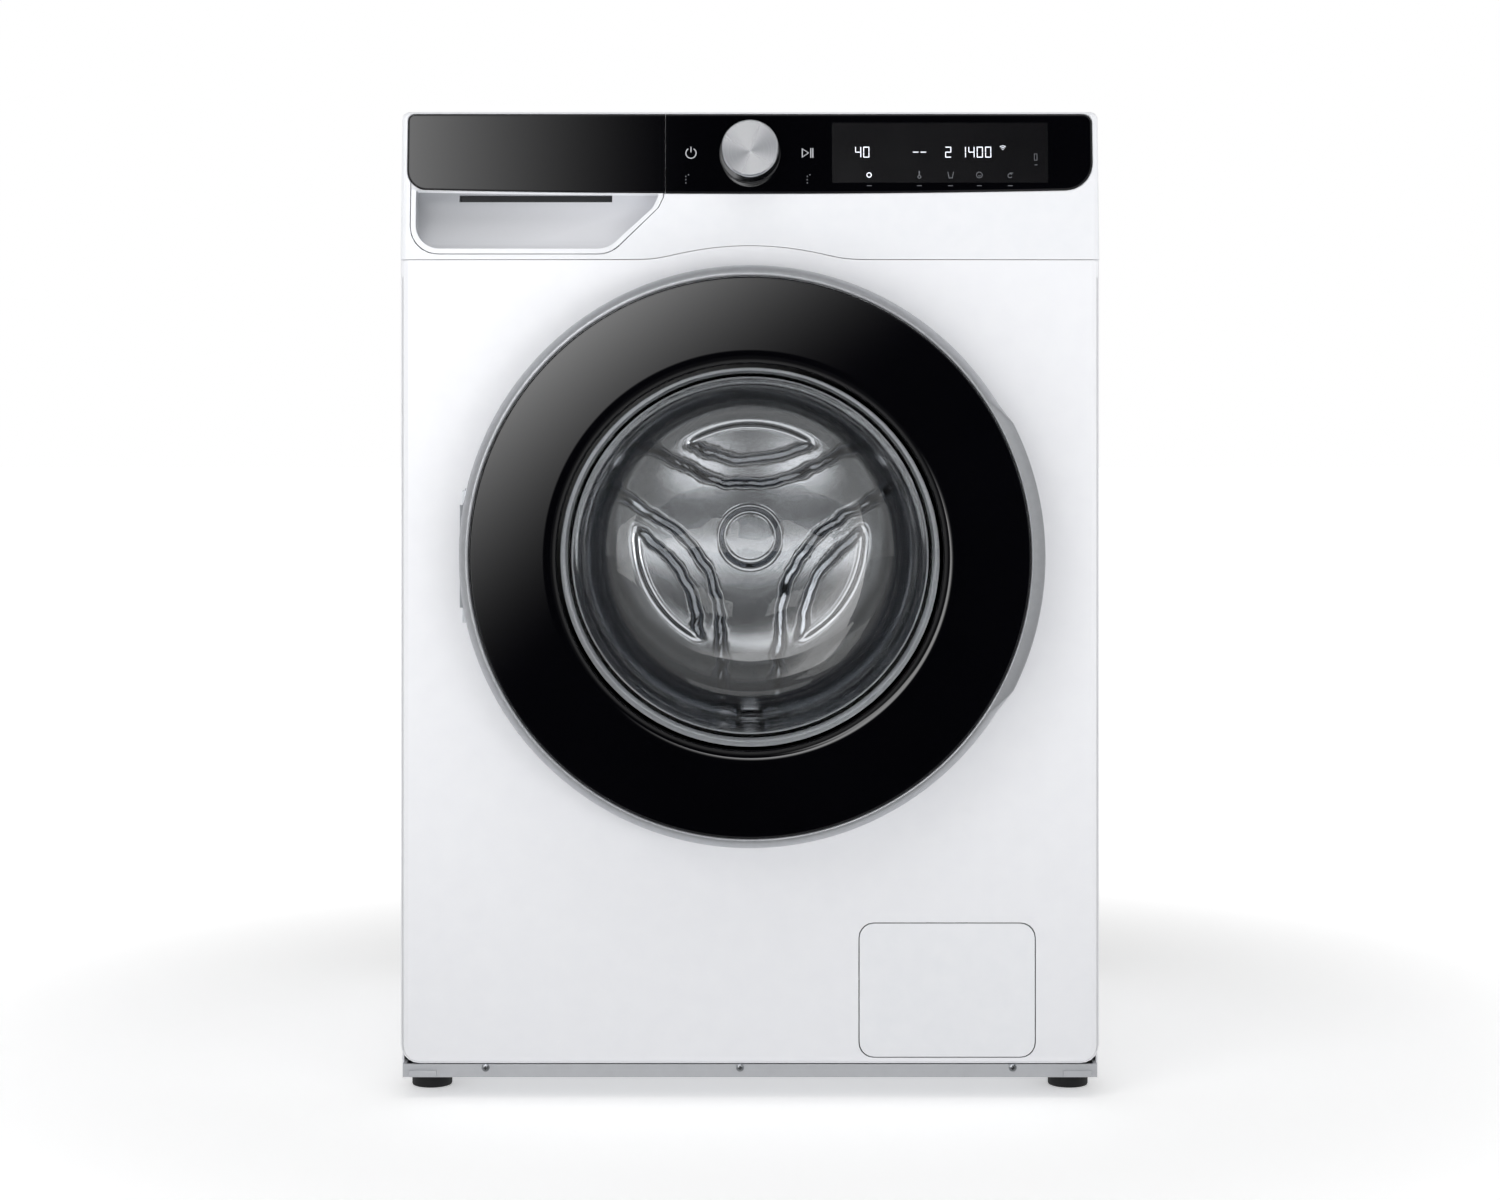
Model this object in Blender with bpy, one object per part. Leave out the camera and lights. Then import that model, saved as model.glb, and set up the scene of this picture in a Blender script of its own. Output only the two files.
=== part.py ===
"""A front load washing machine as an assembly of its real pieces.

Metres, +Z up. The machine faces -Y and its feet stand on z = 0. Most pieces are drawn in the frame of the
front panel: x to the right, y inward from the panel's face and z upward. The tub, drum and door are drawn
about the drum's axis, which runs along Y.
"""

import math

import bmesh
import bpy
from mathutils import Matrix, Vector

# Overall sizes
WIDTH = 0.600
HEIGHT = 0.850
DEPTH = 0.550
DOOR_PROUD = 0.045
FRONT_Y = -(DEPTH - DOOR_PROUD) / 2
HALF = WIDTH / 2
GAP = 0.0003

# Cabinet
SHEET = 0.0015
TRAY_LOW = 0.0185
TRAY_FLOOR = 0.004
PANEL_LOW = 0.030
PANEL_WALL = 0.002
PANEL_RETURN = 0.018
SEAM_Z = 0.720
WORKTOP_THICK = 0.018
PORTHOLE_R = 0.178
ARCH_R = 0.265
ARCH_SOFTNESS = 0.003

# Fascia, which leans back by TILT
TILT = math.radians(7)
FASCIA_DEPTH = 0.040
FASCIA_WALL = 0.004
FASCIA_TOP = 0.8485
GLASS_TOP = 0.8466
GLASS_LOW = 0.7773
GLASS_LEFT = -0.2948
GLASS_SPLIT = -0.0728
GLASS_RECESS = 0.0022
GLASS_THICK = 0.0029
GLASS_BOW = 0.0034
KNOB_Z = 0.812
KNOB_R = 0.0262
KNOB_PROUD = 0.024

# Drawer
DRAWER_SIDES = (-0.2915, -0.0745)
DRAWER_LOW = 0.7253
DRAWER_TOP = 0.8445
DRAWER_DEPTH = 0.036
TRAY_SIDES = (-0.283, -0.106)
TRAY_HEIGHTS = (0.7435, 0.812)
TRAY_WALL = 0.0025
TRAY_FRONT = DRAWER_DEPTH + 0.0018
TRAY_BACK = 0.265
SOFTENER_DOME = 0.170
HOSE_X = -0.130

# Rear connections, as (x, z)
INLET_SPOT = (-0.20, 0.79)
OUTLET_SPOT = (0.12, 0.12)
CORD_SPOT = (0.24, 0.74)
REAR_Y = DEPTH - 0.014

# Door and drum, about the drum's axis
AXIS_Z = 0.467
DOOR_R = 0.2468
TRIM_R = 0.2365
HINGE_X = -0.2405
HINGE_Y = -0.023
HINGE_PIN_R = 0.0035
TUB_R = 0.262
TUB_WALL = 0.004
DRUM_R = 0.244
DRUM_SHEET = 0.0015
SHAFT_R = 0.0122
PULLEY_R = 0.145
MOTOR_Z = 0.112
MOTOR_PULLEY_R = 0.0116
BELT_THICK = 0.0025
HEATER_DROP = 0.2502

# Base
FOOT_X = 0.279
FOOT_Y = (0.062, 0.500)
FOOT_R = 0.0175
HATCH_X = 0.169
HATCH_Z = 0.094
HATCH_SIZE = (0.152, 0.116)

ROUND_DOOR = 40
ROUND_TUB = 28
ROUND_SMALL = 20
PIPE_STEP = 0.022


def clear_scene():
    for obj in list(bpy.data.objects):
        bpy.data.objects.remove(obj)


def finish(name, srgb, roughness, metallic=0.0, clear=0.0):
    """A Principled material from an sRGB hex colour."""
    values = [int(srgb[i : i + 2], 16) / 255 for i in (0, 2, 4)]
    linear = [v / 12.92 if v <= 0.04045 else ((v + 0.055) / 1.055) ** 2.4 for v in values]
    material = bpy.data.materials.new(name)
    material.use_nodes = True
    shader = material.node_tree.nodes["Principled BSDF"]
    shader.inputs["Base Color"].default_value = (*linear, 1)
    shader.inputs["Roughness"].default_value = roughness
    shader.inputs["Metallic"].default_value = metallic
    shader.inputs["Transmission Weight"].default_value = clear
    return material


def frame_at(name, location, rotation=(0, 0, 0)):
    """An empty that pieces are drawn against."""
    empty = bpy.data.objects.new(name, None)
    bpy.context.scene.collection.objects.link(empty)
    empty.location = location
    empty.rotation_euler = rotation
    return empty


def add_part(name, bm, material, parent, place=(0, 0, 0)):
    bmesh.ops.recalc_face_normals(bm, faces=bm.faces)
    mesh = bpy.data.meshes.new(name)
    bm.to_mesh(mesh)
    bm.free()
    if material:
        mesh.materials.append(material)
    mesh.shade_smooth()
    mesh.set_sharp_from_angle(angle=math.radians(35))
    obj = bpy.data.objects.new(name, mesh)
    bpy.context.scene.collection.objects.link(obj)
    obj.parent = parent
    obj.location = place
    return obj


def combine(obj, operation, *shapes):
    """Cuts shapes from a piece, or joins them to it, with one live Boolean for each."""
    for bm in shapes:
        tool = add_part(f"{obj.name}.tool{len(obj.modifiers)}", bm, None, obj)
        tool.hide_render = True
        tool.display_type = "WIRE"
        modifier = obj.modifiers.new(operation.title(), "BOOLEAN")
        modifier.operation = operation
        modifier.object = tool
    return obj


def cut(obj, *shapes):
    return combine(obj, "DIFFERENCE", *shapes)


def join(obj, *shapes):
    return combine(obj, "UNION", *shapes)


def block(low, high, bevel=0.0):
    bm = bmesh.new()
    size = [b - a for a, b in zip(low, high)]
    middle = [(a + b) / 2 for a, b in zip(low, high)]
    matrix = Matrix.Translation(middle) @ Matrix.Diagonal((*size, 1))
    bmesh.ops.create_cube(bm, size=1, matrix=matrix)
    if bevel:
        round_edges(bm, bm.edges, bevel, 2)
    return bm


def round_edges(bm, edges, width, segments):
    bmesh.ops.bevel(
        bm, geom=list(edges), offset=width, segments=segments, profile=0.5, affect="EDGES", material=-1
    )


def turned(profile, steps, upright=False):
    """A (radius, height) profile turned once round the Y axis, or round Z when upright."""
    bm = bmesh.new()
    verts = [bm.verts.new((r, 0, h) if upright else (r, h, 0)) for r, h in profile]
    edges = [bm.edges.new(pair) for pair in zip(verts, verts[1:])]
    if min(r for r, _ in profile) > 0:
        edges.append(bm.edges.new((verts[-1], verts[0])))
    axis = (0, 0, 1) if upright else (0, 1, 0)
    bmesh.ops.spin(
        bm, geom=verts + edges, cent=(0, 0, 0), axis=axis, angle=2 * math.pi, steps=steps, use_merge=True
    )
    bmesh.ops.remove_doubles(bm, verts=bm.verts, dist=1e-6)
    return bm


def rod(radius, low, high, steps=ROUND_SMALL, upright=False):
    return turned([(0, low), (radius, low), (radius, high), (0, high)], steps, upright)


def shifted(bm, offset, turn=None):
    if turn:
        bmesh.ops.rotate(bm, verts=bm.verts, cent=(0, 0, 0), matrix=turn)
    bmesh.ops.translate(bm, verts=bm.verts, vec=offset)
    return bm


def slab(outline, axis, low, high):
    """A flat outline extruded along X, Y or Z; it lists the two other coordinates in order."""
    spot = "XYZ".index(axis)
    bm = bmesh.new()
    verts = []
    for point in outline:
        co = list(point)
        co.insert(spot, low)
        verts.append(bm.verts.new(co))
    face = bm.faces.new(verts)
    moved = bmesh.ops.extrude_face_region(bm, geom=[face])["geom"]
    travel = [0, 0, 0]
    travel[spot] = high - low
    bmesh.ops.translate(bm, verts=[v for v in moved if isinstance(v, bmesh.types.BMVert)], vec=travel)
    return bm


def rounded(corners, steps=5):
    """An outline whose (x, z, radius) corners are each rounded by their own radius."""
    outline = []
    for index, (x, z, radius) in enumerate(corners):
        here = Vector((x, z))
        if not radius:
            outline.append((x, z))
            continue
        before = (Vector(corners[index - 1][:2]) - here).normalized()
        after = (Vector(corners[(index + 1) % len(corners)][:2]) - here).normalized()
        half = before.angle(after) / 2
        centre = here + (before + after).normalized() * radius / math.sin(half)
        first = here + before * radius / math.tan(half) - centre
        last = here + after * radius / math.tan(half) - centre
        swing = math.atan2(first.cross(last), first.dot(last))
        for step in range(steps + 1):
            angle = swing * step / steps
            x_new = centre.x + first.x * math.cos(angle) - first.y * math.sin(angle)
            z_new = centre.y + first.x * math.sin(angle) + first.y * math.cos(angle)
            outline.append((x_new, z_new))
    return outline


def rectangle(x, z, width, height, radius, steps=5):
    left, right, low, high = x - width / 2, x + width / 2, z - height / 2, z + height / 2
    corners = [(left, low, radius), (right, low, radius), (right, high, radius), (left, high, radius)]
    return rounded(corners, steps)


def pipe(name, route, radius, material, parent, sides=8):
    """A solid hose or tube along a smooth curve through the route's points."""
    points = smooth_route([Vector(p) for p in route], PIPE_STEP)
    curve = bpy.data.curves.new(name, "CURVE")
    curve.dimensions = "3D"
    curve.bevel_depth = radius
    curve.bevel_resolution = (sides - 4) // 2
    curve.use_fill_caps = True
    spline = curve.splines.new("POLY")
    spline.points.add(len(points) - 1)
    for point, co in zip(spline.points, points):
        point.co = (*co, 1)
    curve.materials.append(material)
    obj = bpy.data.objects.new(name, curve)
    bpy.context.scene.collection.objects.link(obj)
    obj.parent = parent
    return obj


def smooth_route(points, spacing):
    """Points along a Catmull-Rom curve through the given ones, about `spacing` apart."""
    ends = [2 * points[0] - points[1], *points, 2 * points[-1] - points[-2]]
    out = []
    for before, start, end, after in zip(ends, ends[1:], ends[2:], ends[3:]):
        count = max(1, round((end - start).length / spacing))
        for step in range(count):
            t = step / count
            curve = 2 * start + (end - before) * t + (2 * before - 5 * start + 4 * end - after) * t**2
            curve += (3 * start - before - 3 * end + after) * t**3
            out.append(curve / 2)
    return [*out, points[-1]]


def arch(x):
    """How far the seam under the fascia rises over the door at x."""
    rise = AXIS_Z + math.sqrt(ARCH_R**2 - x**2) - SEAM_Z
    return (rise + math.sqrt(rise**2 + ARCH_SOFTNESS**2)) / 2


def seam(offset):
    """The seam's line from right to left, with its arch over the door."""
    spots = [x / 1000 for x in range(112, -113, -8)]
    return [(x, SEAM_Z + arch(x) + offset) for x in spots]


def lean_back(bm):
    """Tilts the front of a fascia piece; its rear edge stays upright."""
    for vert in bm.verts:
        share = max(0.0, 1 - max(vert.co.y, 0) / FASCIA_DEPTH)
        vert.co.y += (vert.co.z - SEAM_Z) * math.tan(TILT) * share
    return bm


def front_edges(bm, test):
    """The edges of the front face whose middle passes the test."""
    lowest = min(v.co.y for v in bm.verts)
    found = []
    for edge in bm.edges:
        flat = all(abs(v.co.y - lowest) < 1e-6 for v in edge.verts)
        if flat and test((edge.verts[0].co + edge.verts[1].co) / 2):
            found.append(edge)
    return found


# Cabinet

def side_panels(steel, front):
    outline = [
        (PANEL_RETURN + GAP, 0.019),
        (DEPTH, 0.019),
        (DEPTH, HEIGHT - WORKTOP_THICK - GAP),
        (FASCIA_DEPTH + GAP, HEIGHT - WORKTOP_THICK - GAP),
        (FASCIA_DEPTH + GAP, SEAM_Z + GAP),
        (PANEL_RETURN + GAP, SEAM_Z + GAP),
    ]
    for side, name in ((-1, "left"), (1, "right")):
        x = sorted((side * HALF, side * (HALF - SHEET)))
        obj = add_part(f"side_panel_{name}", slab(outline, "X", *x), steel, front)
        shelf = [(0.250, 0.800), (0.2990, 0.800), (0.2990, 0.8015), (0.250, 0.8015)]
        join(obj, slab([(side * across, z) for across, z in shelf], "Y", 0.315, 0.385))


def base_tray(steel, front):
    side = HALF - SHEET - GAP
    tray = block((-side, 0.0040, TRAY_LOW), (side, 0.5355, 0.0297))
    obj = add_part("base_tray", tray, steel, front)
    cut(obj, block((-side + 0.003, 0.0070, TRAY_LOW + TRAY_FLOOR), (side - 0.003, 0.5325, 0.04)))
    for x in (-FOOT_X, FOOT_X):
        for y in FOOT_Y:
            cut(obj, shifted(rod(0.0058, 0, 0.04, 16, upright=True), (x, y, 0)))


def front_panel(steel, front):
    corners = [(-HALF, PANEL_LOW, 0.016), (HALF, PANEL_LOW, 0.016)]
    edge = [(HALF, SEAM_Z - GAP), *seam(-GAP), (-HALF, SEAM_Z - GAP)]
    outline = rounded([*corners, (HALF, SEAM_Z, 0), (-HALF, SEAM_Z, 0)])[:-2] + edge
    bm = slab(outline, "Y", 0, PANEL_RETURN)
    round_edges(bm, front_edges(bm, lambda co: co.z < SEAM_Z - 0.005), 0.007, 3)
    obj = add_part("front_panel", bm, steel, front)
    inner = rectangle(0, (PANEL_LOW + SEAM_Z) / 2, WIDTH - 2 * PANEL_WALL, SEAM_Z - PANEL_LOW - 0.0046, 0.014)
    cut(obj, slab(inner, "Y", PANEL_WALL, PANEL_RETURN + 0.01))
    cut(obj, shifted(rod(PORTHOLE_R, -0.02, 0.03, ROUND_DOOR), (0, 0, AXIS_Z)))
    hatch = rectangle(HATCH_X, HATCH_Z, *HATCH_SIZE, 0.013)
    cut(obj, slab(hatch, "Y", -0.02, 0.03))
    for side in (-1, 1):
        z = sorted((AXIS_Z + side * 0.044, AXIS_Z + side * 0.0570))
        cut(obj, block((-0.2442, -0.02, z[0]), (-0.2318, 0.03, z[1])))
    cut(obj, block((0.1975, -0.02, AXIS_Z - 0.0095), (0.2165, 0.03, AXIS_Z + 0.0095)))


def rear_panel(steel, front):
    side = HALF - SHEET - GAP
    sheet = block((-side, REAR_Y, 0.0190), (side, REAR_Y + SHEET, 0.8315))
    obj = add_part("rear_panel", sheet, steel, front)
    service, inlet, outlet, gland = 0.186, 0.0145, 0.0105, 0.0088
    cut(obj, shifted(rod(service, REAR_Y - 0.01, REAR_Y + 0.01, ROUND_TUB), (0, 0, AXIS_Z)))
    for (x, z), radius in ((INLET_SPOT, inlet), (OUTLET_SPOT, outlet), (CORD_SPOT, gland)):
        cut(obj, shifted(rod(radius, REAR_Y - 0.01, REAR_Y + 0.01, ROUND_SMALL), (x, 0, z)))


def rear_cover(steel, axle):
    y = REAR_Y + SHEET + GAP
    shell = [(0, y + 0.0085), (0.1765, y + 0.0085), (0.1815, y), (0.200, y), (0.200, y + 0.0015)]
    shell += [(0.183, y + 0.0015), (0.178, y + 0.010), (0, y + 0.010)]
    add_part("rear_cover", turned(shell, ROUND_TUB), steel, axle)


def worktop(laminate, front):
    low = HEIGHT - WORKTOP_THICK
    middle = (FASCIA_DEPTH + GAP + DEPTH) / 2
    outline = rectangle(0, middle, WIDTH, DEPTH - FASCIA_DEPTH - GAP, 0.006, 3)
    bm = slab(outline, "Z", low, HEIGHT)
    top = [e for e in bm.edges if all(v.co.z > HEIGHT - 1e-6 for v in e.verts)]
    round_edges(bm, top, 0.002, 2)
    add_part("worktop", bm, laminate, front)


def glass_outline(left, right, grow=0.0):
    """The black panel's outline between two sides: a shallow bowed lower edge and rounded end corners."""
    def low(x):
        return GLASS_LOW + GLASS_BOW * (x / GLASS_LEFT) ** 2 - grow

    top = GLASS_TOP + grow
    whole_left, whole_right = left < GLASS_LEFT + 0.001, right > -GLASS_LEFT - 0.001
    spots = [left - grow + (right - left + 2 * grow) * i / 8 for i in range(9)]
    first = [(spots[0], low(spots[0]), 0.017 if whole_left else 0)]
    last = [(spots[-1], low(spots[-1]), 0.024 if whole_right else 0)]
    middle = [(x, low(x), 0) for x in spots if left + 0.03 < x < right - 0.03]
    ends = [(right + grow, top, 0.008 if whole_right else 0), (left - grow, top, 0.006 if whole_left else 0)]
    return rounded(first + middle + last + ends)


def drawer_outline(grow=0.0):
    left, right = DRAWER_SIDES[0] - grow, DRAWER_SIDES[1] + grow
    low, top = DRAWER_LOW - grow, DRAWER_TOP + grow
    corners = [(left, low, 0.024), (-0.1200 + grow, low, 0.026), (-0.0790 + grow, 0.7650, 0.006)]
    corners += [(right, 0.7745, 0.004), (right, top, 0), (left, top, 0)]
    return rounded(corners)


def fascia(plastic, front, knob_frame):
    edge = [(-HALF, SEAM_Z + GAP), *reversed(seam(GAP)), (HALF, SEAM_Z + GAP)]
    corners = [(-HALF, SEAM_Z, 0), (HALF, SEAM_Z, 0), (HALF, FASCIA_TOP, 0.006), (-HALF, FASCIA_TOP, 0.006)]
    bm = slab(edge + rounded(corners)[2:], "Y", 0, FASCIA_DEPTH)
    round_edges(bm, front_edges(bm, lambda co: co.z > SEAM_Z + 0.02), 0.0045, 3)
    obj = add_part("fascia", lean_back(bm), plastic, front)
    inner = block((-HALF + FASCIA_WALL, FASCIA_WALL, 0.7370), (HALF - FASCIA_WALL, 0.060, 0.8445))
    cut(obj, lean_back(inner))
    cut(obj, lean_back(slab(drawer_outline(0.0006), "Y", -0.02, 0.060)))
    recess = glass_outline(GLASS_LEFT, -GLASS_LEFT, 0.0005)
    cut(obj, lean_back(slab(recess, "Y", -0.02, GLASS_RECESS)))
    hole = add_part("fascia.knob_hole", rod(0.0045, -0.03, 0.03, 16), None, knob_frame)
    hole.hide_render = True
    hole.display_type = "WIRE"
    modifier = obj.modifiers.new("Knob hole", "BOOLEAN")
    modifier.object = hole
    return hole


def control_glass(glass, front, knob_hole):
    outline = glass_outline(GLASS_SPLIT + 0.0004, -GLASS_LEFT)
    bm = lean_back(slab(outline, "Y", GLASS_RECESS - GAP - GLASS_THICK, GLASS_RECESS - GAP))
    obj = add_part("control_glass", bm, glass, front)
    modifier = obj.modifiers.new("Knob hole", "BOOLEAN")
    modifier.object = knob_hole


def controls(materials, front, knob_frame):
    board = block((-0.050, 0.0270, 0.742), (0.285, 0.0385, 0.832), 0.001)
    add_part("control_board", board, materials["board"], front)
    knob = [(0, -KNOB_PROUD), (0.0235, -KNOB_PROUD), (0.0245, -KNOB_PROUD + 0.0008), (0.0257, -0.0045)]
    knob += [(KNOB_R, -0.0025), (KNOB_R - 0.0015, -0.0013), (0.0030, -0.0013), (0.0030, 0.0120), (0, 0.0120)]
    add_part("knob", turned(knob, ROUND_TUB), materials["dial"], knob_frame)


# Detergent drawer

def drawer(materials, front):
    body = slab(drawer_outline(), "Y", 0, DRAWER_DEPTH)
    obj = add_part("drawer_front", lean_back(body), materials["white"], front)
    recess = glass_outline(GLASS_LEFT - 0.01, GLASS_SPLIT + 0.01, 0.0005)
    cut(obj, lean_back(slab(recess, "Y", -0.02, GLASS_RECESS)))
    cut(obj, lean_back(drawer_scoop()))
    outline = glass_outline(GLASS_LEFT, GLASS_SPLIT - 0.0004)
    glass = slab(outline, "Y", GLASS_RECESS - GAP - GLASS_THICK, GLASS_RECESS - GAP)
    add_part("drawer_glass", lean_back(glass), materials["black"], front)
    low, top = TRAY_HEIGHTS
    tray = block((TRAY_SIDES[0], TRAY_FRONT, low), (TRAY_SIDES[1], TRAY_BACK, top))
    obj = add_part("drawer_tray", tray, materials["tray"], front)
    rooms = compartments()
    for left, right in rooms:
        near, far = TRAY_FRONT + TRAY_WALL, TRAY_BACK - TRAY_WALL
        cut(obj, block((left, near, low + TRAY_WALL), (right, far, top + 0.01), 0.0012))
    left, right = rooms[1][0] + 2 * GAP, rooms[1][1] - 2 * GAP
    cap = block((left, SOFTENER_DOME, 0.800), (right, TRAY_BACK - TRAY_WALL - 2 * GAP, 0.8035))
    obj = add_part("softener_cap", cap, materials["blue"], front)
    siphon = rod(0.009, 0.7495, 0.802, 16, upright=True)
    join(obj, shifted(siphon, ((left + right) / 2, 0.24, 0)))


def compartments():
    """The left and right sides of the tray's three compartments."""
    left, right = TRAY_SIDES
    pitch = (right - left - TRAY_WALL) / 3
    return [(left + TRAY_WALL + i * pitch, left + (i + 1) * pitch) for i in range(3)]


def drawer_scoop():
    """The finger scoop: a ramp that deepens upward and hooks up behind the black glass."""
    lip = GLASS_LOW - 0.0006
    outline = [(-0.01, 0.729), (0.0, 0.7300), (0.010, 0.737), (0.020, 0.750), (0.027, 0.766), (0.030, 0.780)]
    outline += [(0.028, 0.790), (0.020, 0.794), (0.0045, 0.792), (0.0045, lip), (-0.01, lip)]
    scoop = slab(outline, "X", -0.2870, -0.0900)
    for vert in scoop.verts:
        if vert.co.z > 0.77:
            vert.co.z += GLASS_BOW * (vert.co.x / GLASS_LEFT) ** 2
        if vert.co.x > -0.1:
            vert.co.x -= (0.775 - min(vert.co.z, 0.775)) * 0.95
    return scoop


def dispenser(materials, front):
    wall, left, right = TRAY_WALL, TRAY_SIDES[0] - 0.005, TRAY_SIDES[1] + 0.005
    box = block((left, 0.0415, 0.7385), (right, 0.300, 0.8285))
    obj = add_part("dispenser_box", box, materials["tray"], front)
    cut(obj, block((left + wall, 0.030, 0.7385 + wall), (right - wall, 0.300 - wall, 0.8285 - wall)))
    ring = [(0.0130, 0.7065), (0.0155, 0.7065), (0.0180, 0.7150), (0.0155, 0.7220), (0.0180, 0.7300)]
    ring += [(0.0155, 0.7382), (0.0130, 0.7382)]
    add_part("dispenser_hose", turned(ring, 16, upright=True), materials["rubber"], front, (HOSE_X, 0.275, 0))


def water_valve(plastic, front):
    x, z = INLET_SPOT
    body = block((x - 0.025, 0.478, z - 0.025), (x + 0.025, REAR_Y - 0.002, z + 0.025), 0.002)
    obj = add_part("water_valve", body, plastic, front)
    join(obj, shifted(rod(0.0133, REAR_Y - 0.006, DEPTH - 0.0005), (x, 0, z)))
    cut(obj, shifted(rod(0.0080, 0.515, 0.560, 16), (x, 0, z)))


# Tub and drum

def tub(materials, axle):
    wall = TUB_R - TUB_WALL
    half = [(0.1750, 0.0580), (0.1790, 0.0580), (0.1790, 0.0745), (0.2550, 0.0745), (TUB_R, 0.0815)]
    half += [(TUB_R, 0.2360), (0.2680, 0.2360), (0.2680, 0.2455), (wall, 0.2455), (wall, 0.0830)]
    half += [(0.2535, 0.0785), (0.1750, 0.0785)]
    obj = add_part("tub_front", turned(half, ROUND_TUB), materials["tub"], axle)
    for side in (-1, 1):
        x = sorted((side * 0.178, side * 0.202))
        join(obj, block((x[0], 0.190, 0.265 - AXIS_Z), (x[1], 0.210, 0.279 - AXIS_Z)))
    half = [(0.2680, 0.2458), (0.2680, 0.2550), (TUB_R, 0.2550), (TUB_R, 0.4580), (0.2560, 0.4660)]
    half += [(0.0560, 0.4660), (0.0520, 0.4900), (0.0262, 0.4900), (0.0262, 0.4520), (0.0480, 0.4520)]
    half += [(0.0540, 0.4600), (0.2530, 0.4600), (wall, 0.4560), (wall, 0.2458)]
    obj = add_part("tub_rear", turned(half, ROUND_TUB), materials["tub"], axle)
    for side in (-1, 1):
        x = sorted((side * 0.2275, side * 0.272))
        join(obj, block((x[0], 0.340, 0.590 - AXIS_Z), (x[1], 0.360, 0.600 - AXIS_Z)))
        cut(obj, shifted(rod(0.0036, 0.45, 0.48, 12), (side * 0.02, 0, -HEATER_DROP)))
    ring = [(0.0127, 0.4560), (0.0258, 0.4560), (0.0258, 0.4890), (0.0127, 0.4890)]
    add_part("drum_bearing", turned(ring, ROUND_TUB), materials["steel"], axle)


def counterweights(iron, axle):
    ring = [(0.185, 0.052), (0.248, 0.052), (0.252, 0.056), (0.252, 0.0742), (0.185, 0.0742)]
    add_part("counterweight_front", turned(ring, ROUND_TUB), iron, axle)
    angles = [math.radians(a) for a in range(50, 105, 6)]
    outline = [(0.264 * math.cos(a), 0.264 * math.sin(a)) for a in angles]
    outline += [(-0.060, 0.308), (0.1697, 0.308)]
    bm = slab(outline, "Y", 0.095, 0.2335)
    add_part("counterweight_top", bm, iron, axle)


def gasket(rubber, axle):
    outer = [(0.1774, 0.0003), (0.1774, 0.0030), (0.1820, 0.0040), (0.1820, 0.0090), (0.1765, 0.0150)]
    outer += [(0.1765, 0.0290), (0.1825, 0.0370), (0.1765, 0.0460), (0.1765, 0.0577)]
    inner = [(0.1735, 0.0577), (0.1735, 0.0460), (0.1795, 0.0370), (0.1735, 0.0290), (0.1735, 0.0150)]
    inner += [(0.1600, 0.0120), (0.1590, 0.0080), (0.1720, 0.0003)]
    add_part("gasket", turned(outer + inner, ROUND_TUB), rubber, axle)


def drum(materials, axle):
    inner = DRUM_R - DRUM_SHEET
    shell = [(0.1725, 0.0980), (0.2380, 0.0980), (DRUM_R, 0.1040), (DRUM_R, 0.4250), (inner, 0.4250)]
    shell += [(inner, 0.1046), (0.2374, 0.0995), (0.1740, 0.0995), (0.1740, 0.1060), (0.1725, 0.1060)]
    add_part("drum_shell", turned(shell, ROUND_TUB), materials["drum"], axle)
    back = [(0, 0.4175), (0.034, 0.4175), (0.045, 0.4253), (0.2437, 0.4253), (0.2437, 0.4268)]
    back += [(0.044, 0.4268), (0.033, 0.4190), (0, 0.4190)]
    add_part("drum_back", turned(back, ROUND_TUB), materials["drum"], axle)
    outline = [(-0.030, -0.2380), (0.030, -0.2380), (0.024, -0.222), (0.012, -0.202), (0.006, -0.198)]
    outline += [(-0.006, -0.198), (-0.012, -0.202), (-0.024, -0.222)]
    for index, angle in enumerate((0, 120, 240)):
        turn = Matrix.Rotation(math.radians(angle), 3, "Y")
        lifter = shifted(slab(outline, "Y", 0.115, 0.405), (0, 0, 0), turn)
        add_part(f"drum_lifter_{index + 1}", lifter, materials["drum"], axle)
    hub = [(0, 0.4272), (0.045, 0.4272), (0.038, 0.4492), (SHAFT_R, 0.4492), (SHAFT_R, 0.5190), (0, 0.5190)]
    spider = turned(hub, ROUND_TUB)
    obj = add_part("drum_spider", spider, materials["aluminium"], axle)
    for angle in (0, 120, 240):
        turn = Matrix.Rotation(math.radians(angle), 3, "Y")
        arm = [(-0.018, -0.030), (0.018, -0.030), (0.011, -0.238), (-0.011, -0.238)]
        join(obj, shifted(slab(arm, "Y", 0.4278, 0.4420), (0, 0, 0), turn))
    pulley = [(0.0127, 0.4935), (0.0300, 0.4935), (0.0300, 0.5030), (0.1370, 0.5030), (0.1370, 0.4970)]
    pulley += [(PULLEY_R, 0.4970), (PULLEY_R, 0.5150), (0.1370, 0.5150), (0.1370, 0.5075), (0.0300, 0.5075)]
    pulley += [(0.0300, 0.5170), (0.0127, 0.5170)]
    add_part("drum_pulley", turned(pulley, ROUND_TUB), materials["aluminium"], axle)


def motor(materials, motor_axis):
    case = [(0, 0.345), (0.050, 0.345), (0.060, 0.355), (0.060, 0.465), (0.045, 0.475)]
    case += [(0.0062, 0.475), (0.0062, 0.415), (0, 0.415)]
    obj = add_part("motor", turned(case, 32), materials["aluminium"], motor_axis)
    for side in (-1, 1):
        x = sorted((side * 0.040, side * 0.052))
        join(obj, block((x[0], 0.365, 0.020), (x[1], 0.455, 0.0925)))
    rotor = [(0, 0.420), (0.0056, 0.420), (0.0056, 0.4965), (MOTOR_PULLEY_R, 0.4965)]
    rotor += [(MOTOR_PULLEY_R, 0.5155), (0, 0.5155)]
    add_part("motor_rotor", turned(rotor, 20), materials["steel"], motor_axis)


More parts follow.
